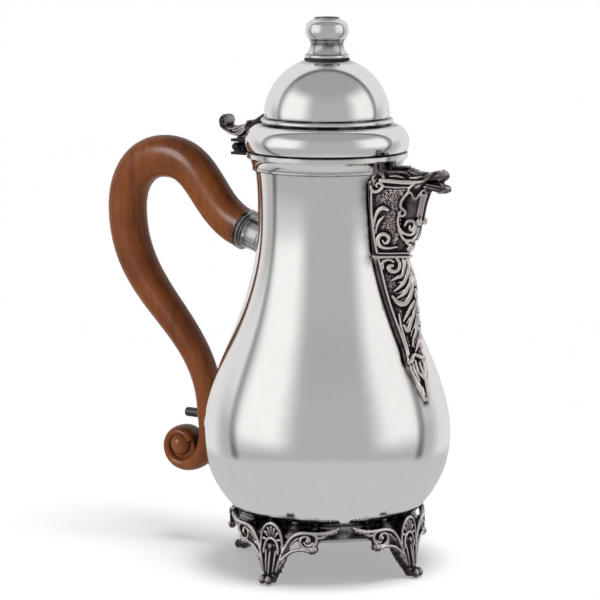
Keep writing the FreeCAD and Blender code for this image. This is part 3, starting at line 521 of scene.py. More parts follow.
class Recipe:
    """A finish while its nodes are put together."""

    def __init__(self, name):
        self.finish = bpy.data.materials.new(name)
        self.finish.use_nodes = True
        self.tree = self.finish.node_tree
        self.shader = self.tree.nodes["Principled BSDF"]

    def node(self, kind, settings=None, **inputs):
        named = [(key.replace("_", " "), value) for key, value in inputs.items()]
        return add_node(self.tree, kind, settings, named)

    def joined(self, kind, *inputs, **settings):
        """Output of a node that takes its inputs by number."""
        return add_node(self.tree, kind, settings, enumerate(inputs)).outputs[0]

    def ramp(self, value, stops):
        made = self.node("ValToRGB", Fac=value)
        elements = made.color_ramp.elements
        while len(elements) < len(stops):
            elements.new(0.5)
        for element, (place, tint) in zip(elements, stops):
            element.position = place
            element.color = (*tint, 1.0)
        return made.outputs["Color"]

    def spread(self, value, low, high, start, end):
        return self.node(
            "MapRange", Value=value, From_Min=low, From_Max=high, To_Min=start, To_Max=end).outputs["Result"]

    def noise(self, place, scale, detail=3.0, roughness=0.55):
        made = self.node("TexNoise", Vector=place, Scale=scale, Detail=detail, Roughness=roughness)
        return made.outputs["Fac"]

    def place(self, stretch=(1.0, 1.0, 1.0), turn=(0.0, 0.0, 0.0)):
        """Position on the piece in metres, stretched for grain and brush lines."""
        spot = self.node("TexCoord").outputs["Object"]
        return self.node("Mapping", Vector=spot, Scale=stretch, Rotation=turn).outputs["Vector"]

    def product(self, first, second):
        """Product of two values, kept between 0 and 1."""
        return self.joined("Math", first, second, operation="MULTIPLY", use_clamp=True)

    def mixed(self, factor, first, second, kind="MIX"):
        made = self.node("MixRGB", {"blend_type": kind}, Fac=factor, Color1=first, Color2=second)
        return made.outputs["Color"]

    def bump(self, height, strength, distance, under=None):
        made = self.node("Bump", Height=height, Strength=strength, Distance=distance)
        if under is not None:
            self.tree.links.new(under, made.inputs["Normal"])
        return made.outputs["Normal"]

    def feed(self, **sockets):
        for key, value in sockets.items():
            feed_socket(self.tree, self.shader.inputs[key.replace("_", " ")], value)


def finish_colours():
    return bpy.context.scene.pot_finishes


def opaque(tint):
    return (tint[0], tint[1], tint[2], 1.0)


def known(name, make):
    """A finish by name, made the first time that it is asked for."""
    return bpy.data.materials.get(name) or make(name)


def polished_silver(name="polished_silver", age=0.35, sheen=0.09, dulled=0.0):
    """Polished silver with fine wear, a few pits, tarnish left in its corners, and dark lines from the mesh
    that are partly tarnish and partly painted shade.
    """
    colours = finish_colours()
    recipe = Recipe(name)
    place = recipe.place()
    cloud = recipe.noise(place, 22.0, 4.0)
    wear = recipe.noise(place, 240.0, 6.0, 0.7)
    brush = recipe.noise(recipe.place((1.0, 1.0, 22.0)), 90.0, 5.0, 0.7)
    corner = recipe.node("AmbientOcclusion", {"samples": 6}, Distance=0.0035).outputs["AO"]
    grime = recipe.product(
        recipe.spread(corner, 0.25, 0.80, age, 0.0), recipe.spread(cloud, 0.35, 0.70, 0.35, 1.15))
    # dark lines read from the mesh: partly tarnish, partly painted shade in grooves, gaps and under edges
    stain_and_shade = recipe.node("Attribute", {"attribute_name": "stain_and_shade"}).outputs["Fac"]
    ragged = recipe.spread(recipe.noise(place, 160.0, 5.0, 0.7), 0.30, 0.66, 0.45, 1.35)
    lines = recipe.product(stain_and_shade, ragged)
    patches = recipe.spread(recipe.noise(place, 130.0, 4.0, 0.65), 0.30, 0.70, dulled * 0.8, dulled * 1.1)
    spots = recipe.node("TexVoronoi", Vector=place, Scale=70.0, Randomness=1.0)
    pits = recipe.product(
        recipe.spread(spots.outputs["Distance"], 0.018, 0.045, 1.0, 0.0),
        recipe.spread(recipe.noise(place, 37.0, 2.0), 0.60, 0.64, 0.0, 0.5))
    tint = recipe.ramp(wear, [(0.30, [0.965 * v for v in colours.silver]), (0.70, colours.silver)])
    for dirt in (patches, grime, lines, pits):
        tint = recipe.mixed(dirt, tint, opaque(colours.tarnish))
    rough = recipe.spread(cloud, 0.30, 0.75, sheen * 0.85, sheen * 1.25)
    scratched = recipe.bump(brush, 0.035, 0.0004)
    dented = recipe.bump(pits, 0.12, 0.0004, scratched)
    recipe.feed(Base_Color=tint, Metallic=1.0, Roughness=rough, Normal=dented)
    return recipe.finish


def worn_silver(name="worn_silver"):
    """Silver of the handle's sockets and the small fittings, duller than the body."""
    return polished_silver(name, age=1.0, sheen=0.18, dulled=0.34)


def finial_silver(name="finial_silver"):
    """Silver of the finial, polished less often than the dome."""
    return polished_silver(name, age=0.9, sheen=0.07, dulled=0.1)


def ring_silver(name="ring_silver"):
    """Silver of the foot ring, black in its hollow and a little rubbed on its two edges."""
    return polished_silver(name, age=1.3, sheen=0.22, dulled=0.45)


def dark_silver(name="dark_silver"):
    """Silver of the hinge, left almost black with old tarnish."""
    return polished_silver(name, age=1.6, sheen=0.26, dulled=1.12)


def cast_silver(name="cast_silver"):
    """Cast silver: black oxide in the hollows, rubbed bright on the ridges, with painted highlight and shade
    by facing carried in the tone attribute.
    """
    colours = finish_colours()
    recipe = Recipe(name)
    relief = recipe.node("Attribute", {"attribute_name": "relief"}).outputs["Fac"]
    place = recipe.place()
    mottle = recipe.noise(place, 420.0, 5.0, 0.65)
    uneven = recipe.spread(mottle, 0.2, 0.8, -0.06, 0.06)
    tone = recipe.node("Attribute", {"attribute_name": "tone"}).outputs["Fac"]
    level = recipe.joined("Math", relief, uneven, operation="ADD")
    height = recipe.spread(level, -0.34, 0.36, 0.0, 1.0)

    def rubbed(part):
        """Colour of silver that is only partly rubbed clean, a little warmer than the ridges."""
        return [part * v * warm for v, warm in zip(colours.ridge, (1.09, 0.95, 0.97))]

    bright = recipe.ramp(height, [
        (0.16, colours.hollow), (0.38, rubbed(0.12)), (0.56, rubbed(0.42)), (0.80, colours.ridge)])
    crest = recipe.spread(level, -0.2, 1.3, 0.0, 1.0)
    old = recipe.ramp(crest, [
        (0.20, colours.hollow), (0.45, rubbed(0.05)), (0.70, rubbed(0.12)), (1.0, rubbed(0.34))])
    # where tone is high the darker ramp is used: tarnish on the thumbpiece, beak and cover, painted shade on
    # faces of the feet and spout that turn away from up and out
    tint = recipe.mixed(tone, bright, old)
    rough = recipe.spread(height, 0.3, 0.8, 0.42, 0.14)
    cast_skin = recipe.bump(recipe.noise(place, 1600.0, 3.0), 0.12, 0.0003)
    recipe.feed(Base_Color=tint, Metallic=1.0, Roughness=rough, Normal=cast_skin)
    return recipe.finish


def carved_wood(name="carved_wood"):
    """Straight-grained polished hardwood, cut with its grain upright."""
    colours = finish_colours()
    recipe = Recipe(name)
    lean = (0.0, math.radians(14), 0.0)
    board = recipe.place((1.0, 1.0, 0.07), lean)
    rings = recipe.noise(board, 170.0, 4.0, 0.6)
    streaks = recipe.noise(recipe.place((1.0, 1.0, 0.035), lean), 900.0, 3.0, 0.6)
    pores = recipe.noise(recipe.place((1.0, 1.0, 0.05), lean), 2600.0, 2.0, 0.5)
    cloud = recipe.noise(recipe.place(), 32.0, 3.0)
    grain = recipe.ramp(rings, [
        (0.28, colours.wood_dark), (0.52, colours.wood_light), (0.75, colours.wood_dark)])
    lines = recipe.ramp(streaks, [(0.34, (0.66, 0.62, 0.60)), (0.6, (1.0, 1.0, 1.0))])
    lined = recipe.mixed(0.4, grain, lines, "MULTIPLY")
    aged = recipe.ramp(cloud, [
        (0.30, (0.56, 0.47, 0.52)), (0.56, (1.0, 0.98, 1.0)), (0.72, (1.1, 1.12, 0.95))])
    toned = recipe.mixed(0.8, lined, aged, "MULTIPLY")
    # the wood is darker in corners and hollows, where the AO node finds them
    corner = recipe.node("AmbientOcclusion", {"samples": 6}, Distance=0.004).outputs["AO"]
    darker_in_corners = recipe.ramp(corner, [(0.35, (0.28, 0.22, 0.2)), (0.85, (1.0, 1.0, 1.0))])
    tint = recipe.mixed(0.9, toned, darker_in_corners, "MULTIPLY")
    rough = recipe.spread(streaks, 0.3, 0.7, 0.5, 0.4)
    skin = recipe.bump(pores, 0.10, 0.0002)
    recipe.feed(
        Base_Color=tint, Roughness=rough, Normal=skin, Specular_IOR_Level=0.05,
        Coat_Weight=0.46, Coat_Roughness=0.22)
    return recipe.finish


def black_wood(name="black_wood"):
    """Black stained wood of the peg."""
    colours = finish_colours()
    recipe = Recipe(name)
    fibre = recipe.noise(recipe.place((0.08, 1.0, 1.0)), 1500.0, 3.0)
    tint = recipe.ramp(fibre, [(0.3, colours.black), (0.75, [2.2 * v for v in colours.black])])
    recipe.feed(Base_Color=tint, Roughness=0.42, Normal=recipe.bump(fibre, 0.15, 0.0003))
    return recipe.finish


def black_leather(name="black_leather"):
    """Old leather of the gasket under the finial."""
    colours = finish_colours()
    recipe = Recipe(name)
    cells = recipe.node("TexVoronoi", Vector=recipe.place(), Scale=1300.0).outputs["Distance"]
    tint = recipe.ramp(cells, [(0.1, colours.black), (0.8, [1.8 * v for v in colours.black])])
    recipe.feed(Base_Color=tint, Roughness=0.7, Normal=recipe.bump(cells, 0.4, 0.0004))
    return recipe.finish


# Pieces

def sizes_of(name):
    return Millimetres(getattr(bpy.context.scene, name))


def the_wall():
    return Wall(sizes_of("pot_body"))


class PieceOperator(bpy.types.Operator):
    """Base of the operators that make pieces."""
    bl_options = {"REGISTER"}


class POT_OT_body(PieceOperator):
    """Raised body with its bottom, open at the mouth and behind the spout"""
    bl_idname = "pot.body"
    bl_label = "Body"

    # where the upper socket of the handle meets the wall
    socket_z = 137.2
    socket_radius = 7.6

    def execute(self, context):
        sizes = sizes_of("pot_body")
        wall = the_wall()
        low, high = side_of("spout_strainer", 2, 0), side_of("spout_strainer", 2, 1)
        heights = np.unique(np.concatenate([np.linspace(BASE_Z, RIM_Z, 170), [low, high]]))
        edge = [(0.0, BASE_Z), (sizes.base_radius * 0.5, BASE_Z), (sizes.base_radius - 1.5, BASE_Z)]
        outline = soften(edge + [(wall.radius(z), z) for z in heights], 1.0)
        piece = turned_piece("pot_body", outline, known("polished_silver", polished_silver))
        self.tarnish(piece.data)
        self.cut_window(piece.data, low * MM, high * MM, side_of("spout_strainer", 1, 1) * MM)
        shell = piece.modifiers.new("Wall", "SOLIDIFY")
        shell.thickness = sizes.wall * MM
        shell.offset = -1.0
        fit(piece, "pot", "silver_polished", "body_shell")
        return {"FINISHED"}

    def tarnish(self, mesh):
        """Dark edge beside the spout and its drop, round the handle's socket and over the foot ring."""
        x, y, z = points_of(mesh)[0].T
        dark = 0.9 * np.exp(-((z - BASE_Z) / 1.0) ** 2)
        castings = (
            (SPOUT_LEVELS, SPOUT_FOOT_Z, 1, 3.2),
            (DROP_LEVELS, SPOUT_FOOT_Z - SPOUT_MOULDING, -1, 1.7),
        )
        for levels, foot_z, upward, reach in castings:
            table = np.array(levels)
            step = (z - foot_z) * upward
            half = np.interp(step, table[:, 0], table[:, 1])
            beside = np.maximum(np.abs(y) - half, 0.0)
            past = np.maximum(np.maximum(step - table[-1, 0], table[0, 0] - step), 0.0)
            strength = np.where(x > 0, 0.8 * np.exp(-(np.hypot(beside, past) / reach) ** 2), 0.0)
            dark = np.maximum(dark, strength)
        past = np.maximum(np.hypot(y, z - self.socket_z) - self.socket_radius, 0.0)
        dark = np.maximum(dark, np.where(x < 0, 0.8 * np.exp(-(past / 1.3) ** 2), 0.0))
        mesh.attributes["stain_and_shade"].data.foreach_set("value", dark.astype(np.float32))

    def cut_window(self, mesh, low, high, half):
        """Takes out the faces where the strainer sits."""
        work = bmesh.new()
        work.from_mesh(mesh)
        gone = []
        for face in work.faces:
            centre = face.calc_center_median()
            if centre.x > 0 and abs(centre.y) < half and low < centre.z < high:
                gone.append(face)
        bmesh.ops.delete(work, geom=gone, context="FACES")
        work.to_mesh(mesh)
        work.free()


class POT_OT_rim(PieceOperator):
    """Moulded band round the mouth"""
    bl_idname = "pot.rim"
    bl_label = "Rim band"

    def execute(self, context):
        sizes = sizes_of("pot_body")
        wall = the_wall()
        foot_z = RIM_Z - sizes.rim_height
        root = wall.radius(foot_z)
        foot = (root + 1.3, foot_z + 1.3)
        lip = (sizes.rim_radius, RIM_Z - 2.2)
        hollow = ((foot[0] + lip[0] - 0.7) / 2, (foot[1] + lip[1] + 0.7) / 2)
        outline = [(root - 0.4, foot_z), (root + 1.3, foot_z)] + arc(foot, hollow, lip)
        outline += [(sizes.rim_radius, RIM_Z), (sizes.mouth_radius - 0.4, RIM_Z)]
        # painted shade: dark lines for the shadow at the band's foot, in the crease over it and in the gap
        # under the lid
        stains_and_shade = ((foot_z, 0.5, 0.9), (foot_z + 1.5, 0.3, 0.55), (RIM_Z, 0.35, 1.0))
        finish = known("polished_silver", polished_silver)
        piece = turned_piece("rim_moulding", closely(soften(outline, 0.35)), finish, stains_and_shade=stains_and_shade)
        self.tarnish(piece.data)
        fit(piece, "pot", "silver_polished", "rim_band")
        return {"FINISHED"}

    def tarnish(self, mesh):
        """Dark place on the band over the spout, out of the cloth's reach."""
        x, y, z = points_of(mesh)[0].T
        dark = np.empty(len(x))
        mesh.attributes["stain_and_shade"].data.foreach_get("value", dark)
        inside = np.clip((15.0 - np.abs(y)) / 6.0, 0, 1) * np.clip((RIM_Z - 1.8 - z) / 1.5, 0, 1)
        dark = np.maximum(dark, np.where(x > 0, 0.6 * inside, 0.0))
        mesh.attributes["stain_and_shade"].data.foreach_set("value", dark.astype(np.float32))


class POT_OT_lid(PieceOperator):
    """Domed lid on a round shoulder, with the collar that drops into the mouth"""
    bl_idname = "pot.lid"
    bl_label = "Lid"

    def execute(self, context):
        sizes = sizes_of("pot_lid")
        mouth = side_of("lid_bezel", 1, 1)
        skin = soften([(mouth, LID_Z)] + self.outline(sizes, 0.0), 0.5)
        lining = soften([(mouth, LID_Z + sizes.wall)] + self.outline(sizes, sizes.wall), 0.3)
        foot = DOME_TOP_Z - sizes.dome_radius
        # painted shade: dark lines in the two grooves of the step, in the gap at the lid's edge and round
        # the finial's foot
        stains_and_shade = (
            (foot - 0.75, 0.45, 1.0), (foot - 3.5, 0.5, 1.0), (LID_Z, 0.35, 1.0), (foot + 23.6, 0.8, 0.6))
        finish = known("polished_silver", polished_silver)
        piece = turned_piece("lid_dome", skin + lining[::-1], finish, stains_and_shade=stains_and_shade)
        fit(piece, "lid", "silver_polished", "lid_shell")
        dress("lid_bezel", known("polished_silver", polished_silver), 0.2)
        return {"FINISHED"}

    def outline(self, sizes, inset):
        """Profile from the lid's edge to the stud hole, one wall in for the inset."""
        centre = sizes.radius - sizes.shoulder_radius
        shoulder_z = LID_Z + sizes.shoulder_rise
        rounding = sizes.shoulder_radius - inset
        dome = sizes.dome_radius - inset
        dome_z = DOME_TOP_Z - sizes.dome_radius
        riser = sizes.dome_radius + sizes.step_width - inset
        edge = (centre + math.sqrt(rounding ** 2 - (sizes.shoulder_rise - inset) ** 2), LID_Z + inset)
        crown = (riser, shoulder_z + math.sqrt(rounding ** 2 - (riser - centre) ** 2))
        profile = arc(edge, (centre + rounding, shoulder_z), crown, 40)
        if inset == 0.0:
            groove = (riser - 0.9, crown[1] + 0.05)
            profile = profile[:-1] + [(riser + 0.2, crown[1] - 0.1), groove]
            bead_low, bead_high = crown[1] + 0.2, dome_z - 0.9
            swell = (riser + 0.1, (bead_low + bead_high) / 2)
            profile += arc((riser - 0.9, bead_low), swell, (dome - 0.1, bead_high), 14)
            profile += [(dome - 0.25, bead_high + 0.25), (dome - 0.05, bead_high + 0.55)]
        angles = np.linspace(math.asin(0.01), math.acos(2.0 / dome), 70)
        rise = sizes.dome_rise - inset
        return profile + [(dome * math.cos(a), dome_z + rise * math.sin(a)) for a in angles]


class POT_OT_finial(PieceOperator):
    """Turned finial on its leather gasket, with the washer and nut inside the dome"""
    bl_idname = "pot.finial"
    bl_label = "Finial"

    # from the gasket to the flat top
    knob_height = 17.6

    def execute(self, context):
        sizes = sizes_of("pot_lid")
        top = FINIAL_TOP_Z
        base = top - self.knob_height
        foot = side_of("finial", 2, 0)
        outline = [(0.0, foot), (2.0, foot), (2.0, base), (sizes.finial_base - 0.3, base)]
        outline += [
            (sizes.finial_base, base + 0.4), (sizes.finial_base, base + 1.3),
            (sizes.finial_base - 0.2, base + 1.6)]
        outline += list(through([
            (sizes.finial_base - 0.5, base + 1.9), (8.0, base + 3.3), (sizes.finial_waist, base + 5.4),
            (sizes.finial_waist + 0.2, base + 7.0)], 8))
        outline += list(through([
            (7.9, top - 9.4), (8.6, top - 8.6), (9.15, top - 7.4), (sizes.finial_knob, top - 6.0),
            (9.15, top - 4.2), (8.6, top - 2.7), (7.3, top - 1.55),
            (sizes.finial_top + 0.4, top - 0.95)], 8))
        outline += [
            (sizes.finial_top + 0.05, top - 0.75), (sizes.finial_top - 0.1, top),
            (sizes.finial_top - 0.6, top)]
        outline += [(sizes.finial_top - 0.8, top - 0.5), (0.0, top - 0.6)]
        # dark lines: painted shade under the top's edge, under the knob, in the groove over the foot and at
        # the foot on the gasket; the wide band on the waist is tarnish
        stains_and_shade = (
            (top, 0.7, 1.0), (top - 9.6, 0.4, 0.95), (base + 6.2, 1.7, 0.75), (base + 1.75, 0.3, 0.8),
            (base, 0.3, 1.0))
        finish = known("finial_silver", finial_silver)
        finial = turned_piece("finial_knob", closely(soften(outline, 0.25)), finish, 160, stains_and_shade=stains_and_shade)
        fit(finial, "lid", "silver_polished", "finial")
        gasket = self.gasket(base)
        fit(gasket, "lid", "gasket_black", "finial_gasket")
        dress("finial_washer", known("worn_silver", worn_silver), 0.15)
        dress("finial_nut", known("worn_silver", worn_silver), 0.2)
        return {"FINISHED"}

    def gasket(self, base):
        """Ring of cut leather, a little uneven at its edge."""
        reach = side_of("finial_gasket", 1, 1)
        dome = sizes_of("pot_lid").dome_radius
        rise = sizes_of("pot_lid").dome_rise
        low = DOME_TOP_Z - dome + rise * math.sqrt(1 - (reach / dome) ** 2)
        crown = DOME_TOP_Z - dome + rise
        outline = soften([
            (2.5, crown - 0.1), (reach, low - 0.15), (reach, base + 0.05), (2.5, base + 0.05)], 0.3)
        corners, faces = turned(outline, 120)
        ragged = random.Random(5)
        waves = [
            (ragged.uniform(0, 6.28), n, ragged.uniform(0.2, 1.0) / n ** 0.4) for n in (3, 7, 13, 19, 27)]
        uneven = []
        for x, y, z in corners:
            angle = math.atan2(y, x)
            swell = 1 + 0.010 * sum(size * math.sin(n * angle + shift) for shift, n, size in waves)
            uneven.append((x * swell, y * swell, z) if math.hypot(x, y) > 5 else (x, y, z))
        mesh = mesh_of("gasket", uneven, faces)
        return shown("finial_leather", mesh, known("black_leather", black_leather))


class POT_OT_hinge(PieceOperator):
    """Leaves, knuckles and pin of the hinge"""
    bl_idname = "pot.hinge"
    bl_label = "Hinge"

    def execute(self, context):
        for node in ("hinge_body_leaf", "hinge_lid_leaf"):
            dress(node, known("dark_silver", dark_silver), 0.25)
        dress("hinge_pin", known("dark_silver", dark_silver), 0.2)
        return {"FINISHED"}


class POT_OT_thumbpiece(PieceOperator):
    """Cast scroll that the thumb presses to lift the lid"""
    bl_idname = "pot.thumbpiece"
    bl_label = "Thumbpiece"

    def execute(self, context):
        casting = Casting()
        # along the stem: x, low and high over the rim, half width
        stem = through([
            (-55.2, 7.3, 9.6, 3.3), (-52.5, 5.5, 9.0, 3.3), (-49.8, 4.4, 8.7, 3.2),
            (-46.8, 3.9, 8.9, 3.1), (-43.8, 4.0, 9.5, 3.0), (-41.1, 4.4, 10.8, 2.9),
            (-39.5, 5.8, 10.9, 2.7), (-36.5, 9.2, 12.7, 2.2), (-33.4, 11.8, 14.6, 1.5),
            (-30.8, 14.2, 16.1, 0.7)], 6)
        casting.bar(stem, RIM_Z, 20, 0.7)
        self.roll(casting)
        for side in (-1, 1):
            for radii, places in (
                ((0.4, 0.5, 0.4), (
                    (-54.6, 3.1, 8.2), (-51.4, 3.3, 6.4), (-48.6, 3.3, 5.2), (-46.4, 3.2, 4.8))),
                ((0.4, 0.6, 0.4), (
                    (-48.4, 3.2, 5.2), (-45.8, 3.2, 5.4), (-43.0, 3.0, 7.2), (-41.0, 2.9, 9.8))),
                ((0.35, 0.55, 0.35), ((-50.4, 3.2, 7.2), (-47.4, 3.2, 7.6), (-44.6, 3.0, 8.6))),
                ((0.35, 0.55, 0.35), ((-48.2, 3.2, 6.4), (-45.6, 3.2, 6.8), (-42.6, 3.0, 8.8))),
                ((0.4, 0.55, 0.3), ((-45.6, 3.2, 4.6), (-43.2, 3.1, 5.6), (-41.4, 2.9, 7.8))),
            ):
                casting.stroke(places, radii, RIM_Z, side)
        casting.rod([(-40.4, y, RIM_Z + 10.6) for y in np.linspace(-2.4, 2.4, 6)], [0.9])
        root = ((-47.0, 5.4), (-46.0, 3.4), (-39.4, 3.4), (-38.6, 6.4))
        casting.loft([[(x, y, RIM_Z + rise) for x, rise in root] for y in (-2.7, 2.7)])
        mesh = casting.melt("thumbpiece_scroll", sizes_of("pot_castings").grain, self.tone)
        piece = shown("thumbpiece_scroll", mesh, known("cast_silver", cast_silver), 180)
        fit(piece, "lid", "silver_cast", "thumbpiece")
        return {"FINISHED"}

    def tone(self, places, normals):
        """The strap on the dome is almost black, the roll dark."""
        x, rise = places[:, 0], places[:, 2] - RIM_Z
        strap = np.maximum(np.clip((x + 41.5) / 2.0, 0, 1), np.clip((4.4 - rise) / 0.6, 0, 1))
        roll = np.clip((-50.5 - x) / 2.0, 0, 1)
        return 0.5 + 0.5 * np.maximum(strap, 0.85 * roll)

    def roll(self, casting):
        """Curled end of the thumbpiece with a spiral on each face."""
        middle = np.array((-53.3, 0.0, RIM_Z + 10.5))
        half, wide, tall = 3.2, 2.3, 3.1
        sections = []
        for y in np.linspace(-half, half, 9):
            swell = 1.0 - 0.12 * abs(y / half) ** 4
            sections.append([
                middle + (wide * swell * c, y, tall * swell * s) for c, s in squarish(24, 1.0)])
        casting.loft(sections)
        for side in (-1, 1):
            coil = []
            for k in range(20):
                angle = math.radians(250 - 30 * k)
                size = 1.0 - 0.042 * k
                c, s = math.cos(angle), math.sin(angle)
                coil.append(middle + ((wide - 0.3) * size * c, side * half, (tall - 0.4) * size * s))
            casting.rod(coil, [0.5, 0.4])


class Keel:
    """A cast keel on the wall of the body, and places on its side.

    Levels are: distance from its foot, half width at the wall, reach of the nose, half width of the nose."""

    def __init__(self, wall, foot_z, upward, flange, levels):
        self.wall = wall
        self.foot_z = foot_z
        self.upward = upward
        self.flange = flange
        self.levels = np.array(levels)

    def level(self, step):
        z = self.foot_z + self.upward * step
        half, reach, nose = (float(np.interp(step, self.levels[:, 0], self.levels[:, k])) for k in (1, 2, 3))
        wall = self.wall.radius(z)
        root = math.sqrt(wall ** 2 - half ** 2)
        edge = np.array((root + min(self.flange, reach / 2), -half))
        tip = np.array((wall + reach - nose, -nose))
        return z, root, edge, tip, nose

    def spot(self, across, step, lift, side=-1):
        """Place on the keel's side: across is 0 at the flange, 1 at the nose and 1.3 on the middle line."""
        z, _, edge, tip, nose = self.level(step)
        if across <= 1:
            run = tip - edge
            out = np.array((run[1], -run[0])) / np.linalg.norm(run)
            flat = edge + run * across + out * lift
        else:
            angle = math.radians(-90 + 90 * min((across - 1) / 0.3, 1.2))
            out = np.array((math.cos(angle), math.sin(angle)))
            flat = np.array((tip[0], 0.0)) + out * (nose + lift)
        return np.array((flat[0], flat[1] * -side, z))

    def stroke(self, casting, points, radii, lift=0.0, side=-1, steps=7):
        """Raised stroke along places given as across and step."""
        line = through(points, steps)
        casting.rod([self.spot(a, s, lift, side) for a, s in line], radii)

    def ground(self, casting, steps, depth, sunk, beyond):
        """Body of the keel, its sides set back by a depth and by what sunk adds at each place.

        Its far side mirrors the near one, or ends flat at beyond."""
        sections = []
        for step in steps:
            z, root, edge, _, _ = self.level(step)
            inner = root - 1.2
            side = [(inner, edge[1]), (edge[0] - 0.4, edge[1] + 0.1)]
            for across in np.linspace(0.02, 1.3, 30):
                x, y, _ = self.spot(across, step, -depth - sunk(across, step))
                side.append((x, y))
            if beyond is None:
                far_side = [(x, -y) for x, y in side[::-1]]
            else:
                far_side = [(side[-1][0], beyond), (inner, beyond)]
            sections.append([(x, y, z) for x, y in side + far_side])
        casting.loft(sections if self.upward > 0 else sections[::-1])


# height of the moulding at the spout's foot, which stands over the top of the drop
SPOUT_MOULDING = 1.8
SPOUT_FOOT_Z = side_of("spout_drop", 2, 1) + SPOUT_MOULDING
SPOUT_LEVELS = (
    (-SPOUT_MOULDING, 9.4, 12.9, 2.6), (0.0, 8.5, 12.0, 2.6), (8.0, 9.0, 17.0, 2.4), (15.0, 9.6, 19.2, 2.2),
    (22.0, 10.4, 20.6, 2.2), (28.0, 11.0, 22.6, 3.0), (31.5, 11.0, 24.0, 3.2), (35.5, 6.5, 21.0, 2.6))

# strokes of the spout's side: radii, then places as across and height over the foot
SPOUT_STROKES = (
    ((0.95, 0.9, 0.8), ((0.10, 31.8), (0.43, 31.3), (0.70, 31.1), (0.90, 31.5), (1.10, 31.9))),
    ((0.5, 1.0, 1.1, 0.6), ((-0.05, 31.6), (-0.13, 33.0), (-0.11, 34.3), (0.03, 33.9), (0.13, 32.6))),
    ((0.6, 0.85, 0.8, 0.5, 0.4), (
        (-0.08, 29.2), (-0.05, 27.6), (0.03, 26.8), (0.13, 27.8), (0.17, 29.5), (0.08, 30.6), (0.03, 29.6),
        (0.07, 28.9))),
    ((0.35, 0.4, 0.3), ((0.22, 29.1), (0.47, 28.8), (0.73, 29.1))),
    ((0.55, 0.6, 0.55), (
        (-0.06, 26.8), (-0.07, 22.4), (-0.09, 16.6), (-0.09, 11.1), (-0.09, 5.3), (-0.08, 0.6))),
    ((0.35, 0.6, 1.0, 1.25, 0.7), ((-0.05, 11.8), (-0.02, 15.0), (0.07, 18.4), (0.18, 19.9), (0.31, 19.0))),
    ((0.3, 0.55, 0.75, 0.4), ((-0.02, 8.9), (0.02, 11.7), (0.10, 14.4), (0.21, 16.3))),
    ((0.45, 0.7, 1.0, 1.0, 0.95, 0.85, 0.6, 0.5), (
        (0.72, 3.0), (0.33, 2.4), (0.08, 3.3), (0.01, 5.5), (0.08, 7.9), (0.22, 8.6), (0.36, 6.9),
        (0.33, 4.9), (0.23, 4.6), (0.17, 5.8))),
    ((0.6, 0.7, 0.7, 0.6), (
        (0.82, 30.9), (0.74, 28.8), (0.73, 26.8), (0.66, 24.9), (0.60, 22.6), (0.60, 20.4), (0.70, 18.8),
        (0.72, 17.2), (0.64, 16.5), (0.57, 17.4), (0.60, 18.4))),
    ((0.55, 0.65, 0.7, 0.6), (
        (0.57, 16.6), (0.56, 14.0), (0.62, 11.3), (0.77, 9.2), (0.98, 8.4), (1.09, 9.8), (1.07, 12.9))),
    ((0.5, 0.8, 0.9, 0.6), (
        (0.76, 12.4), (0.80, 14.2), (0.92, 14.6), (1.03, 12.8), (1.03, 10.8), (0.93, 10.8), (0.90, 12.2))),
    ((0.45, 0.5, 0.4), (
        (0.74, 27.0), (0.81, 26.3), (0.86, 24.3), (0.93, 24.3), (0.97, 25.7), (1.02, 27.3), (1.10, 28.0),
        (1.17, 26.2))),
    ((0.4, 0.7, 0.7, 0.5), (
        (0.60, 10.6), (0.75, 7.5), (0.90, 6.1), (1.13, 6.2), (1.20, 8.2), (1.20, 11.3))),
    ((0.7, 0.6, 0.5), ((0.97, 5.0), (1.20, 3.4), (1.27, 1.6), (1.15, 1.8), (1.15, 3.1))),
    ((0.4, 0.4), ((0.02, 0.2), (0.5, 0.1), (1.0, 0.2), (1.3, 0.3))),
    ((0.5, 0.5), ((-0.04, -1.3), (0.5, -1.3), (1.0, -1.3), (1.3, -1.3))),
)


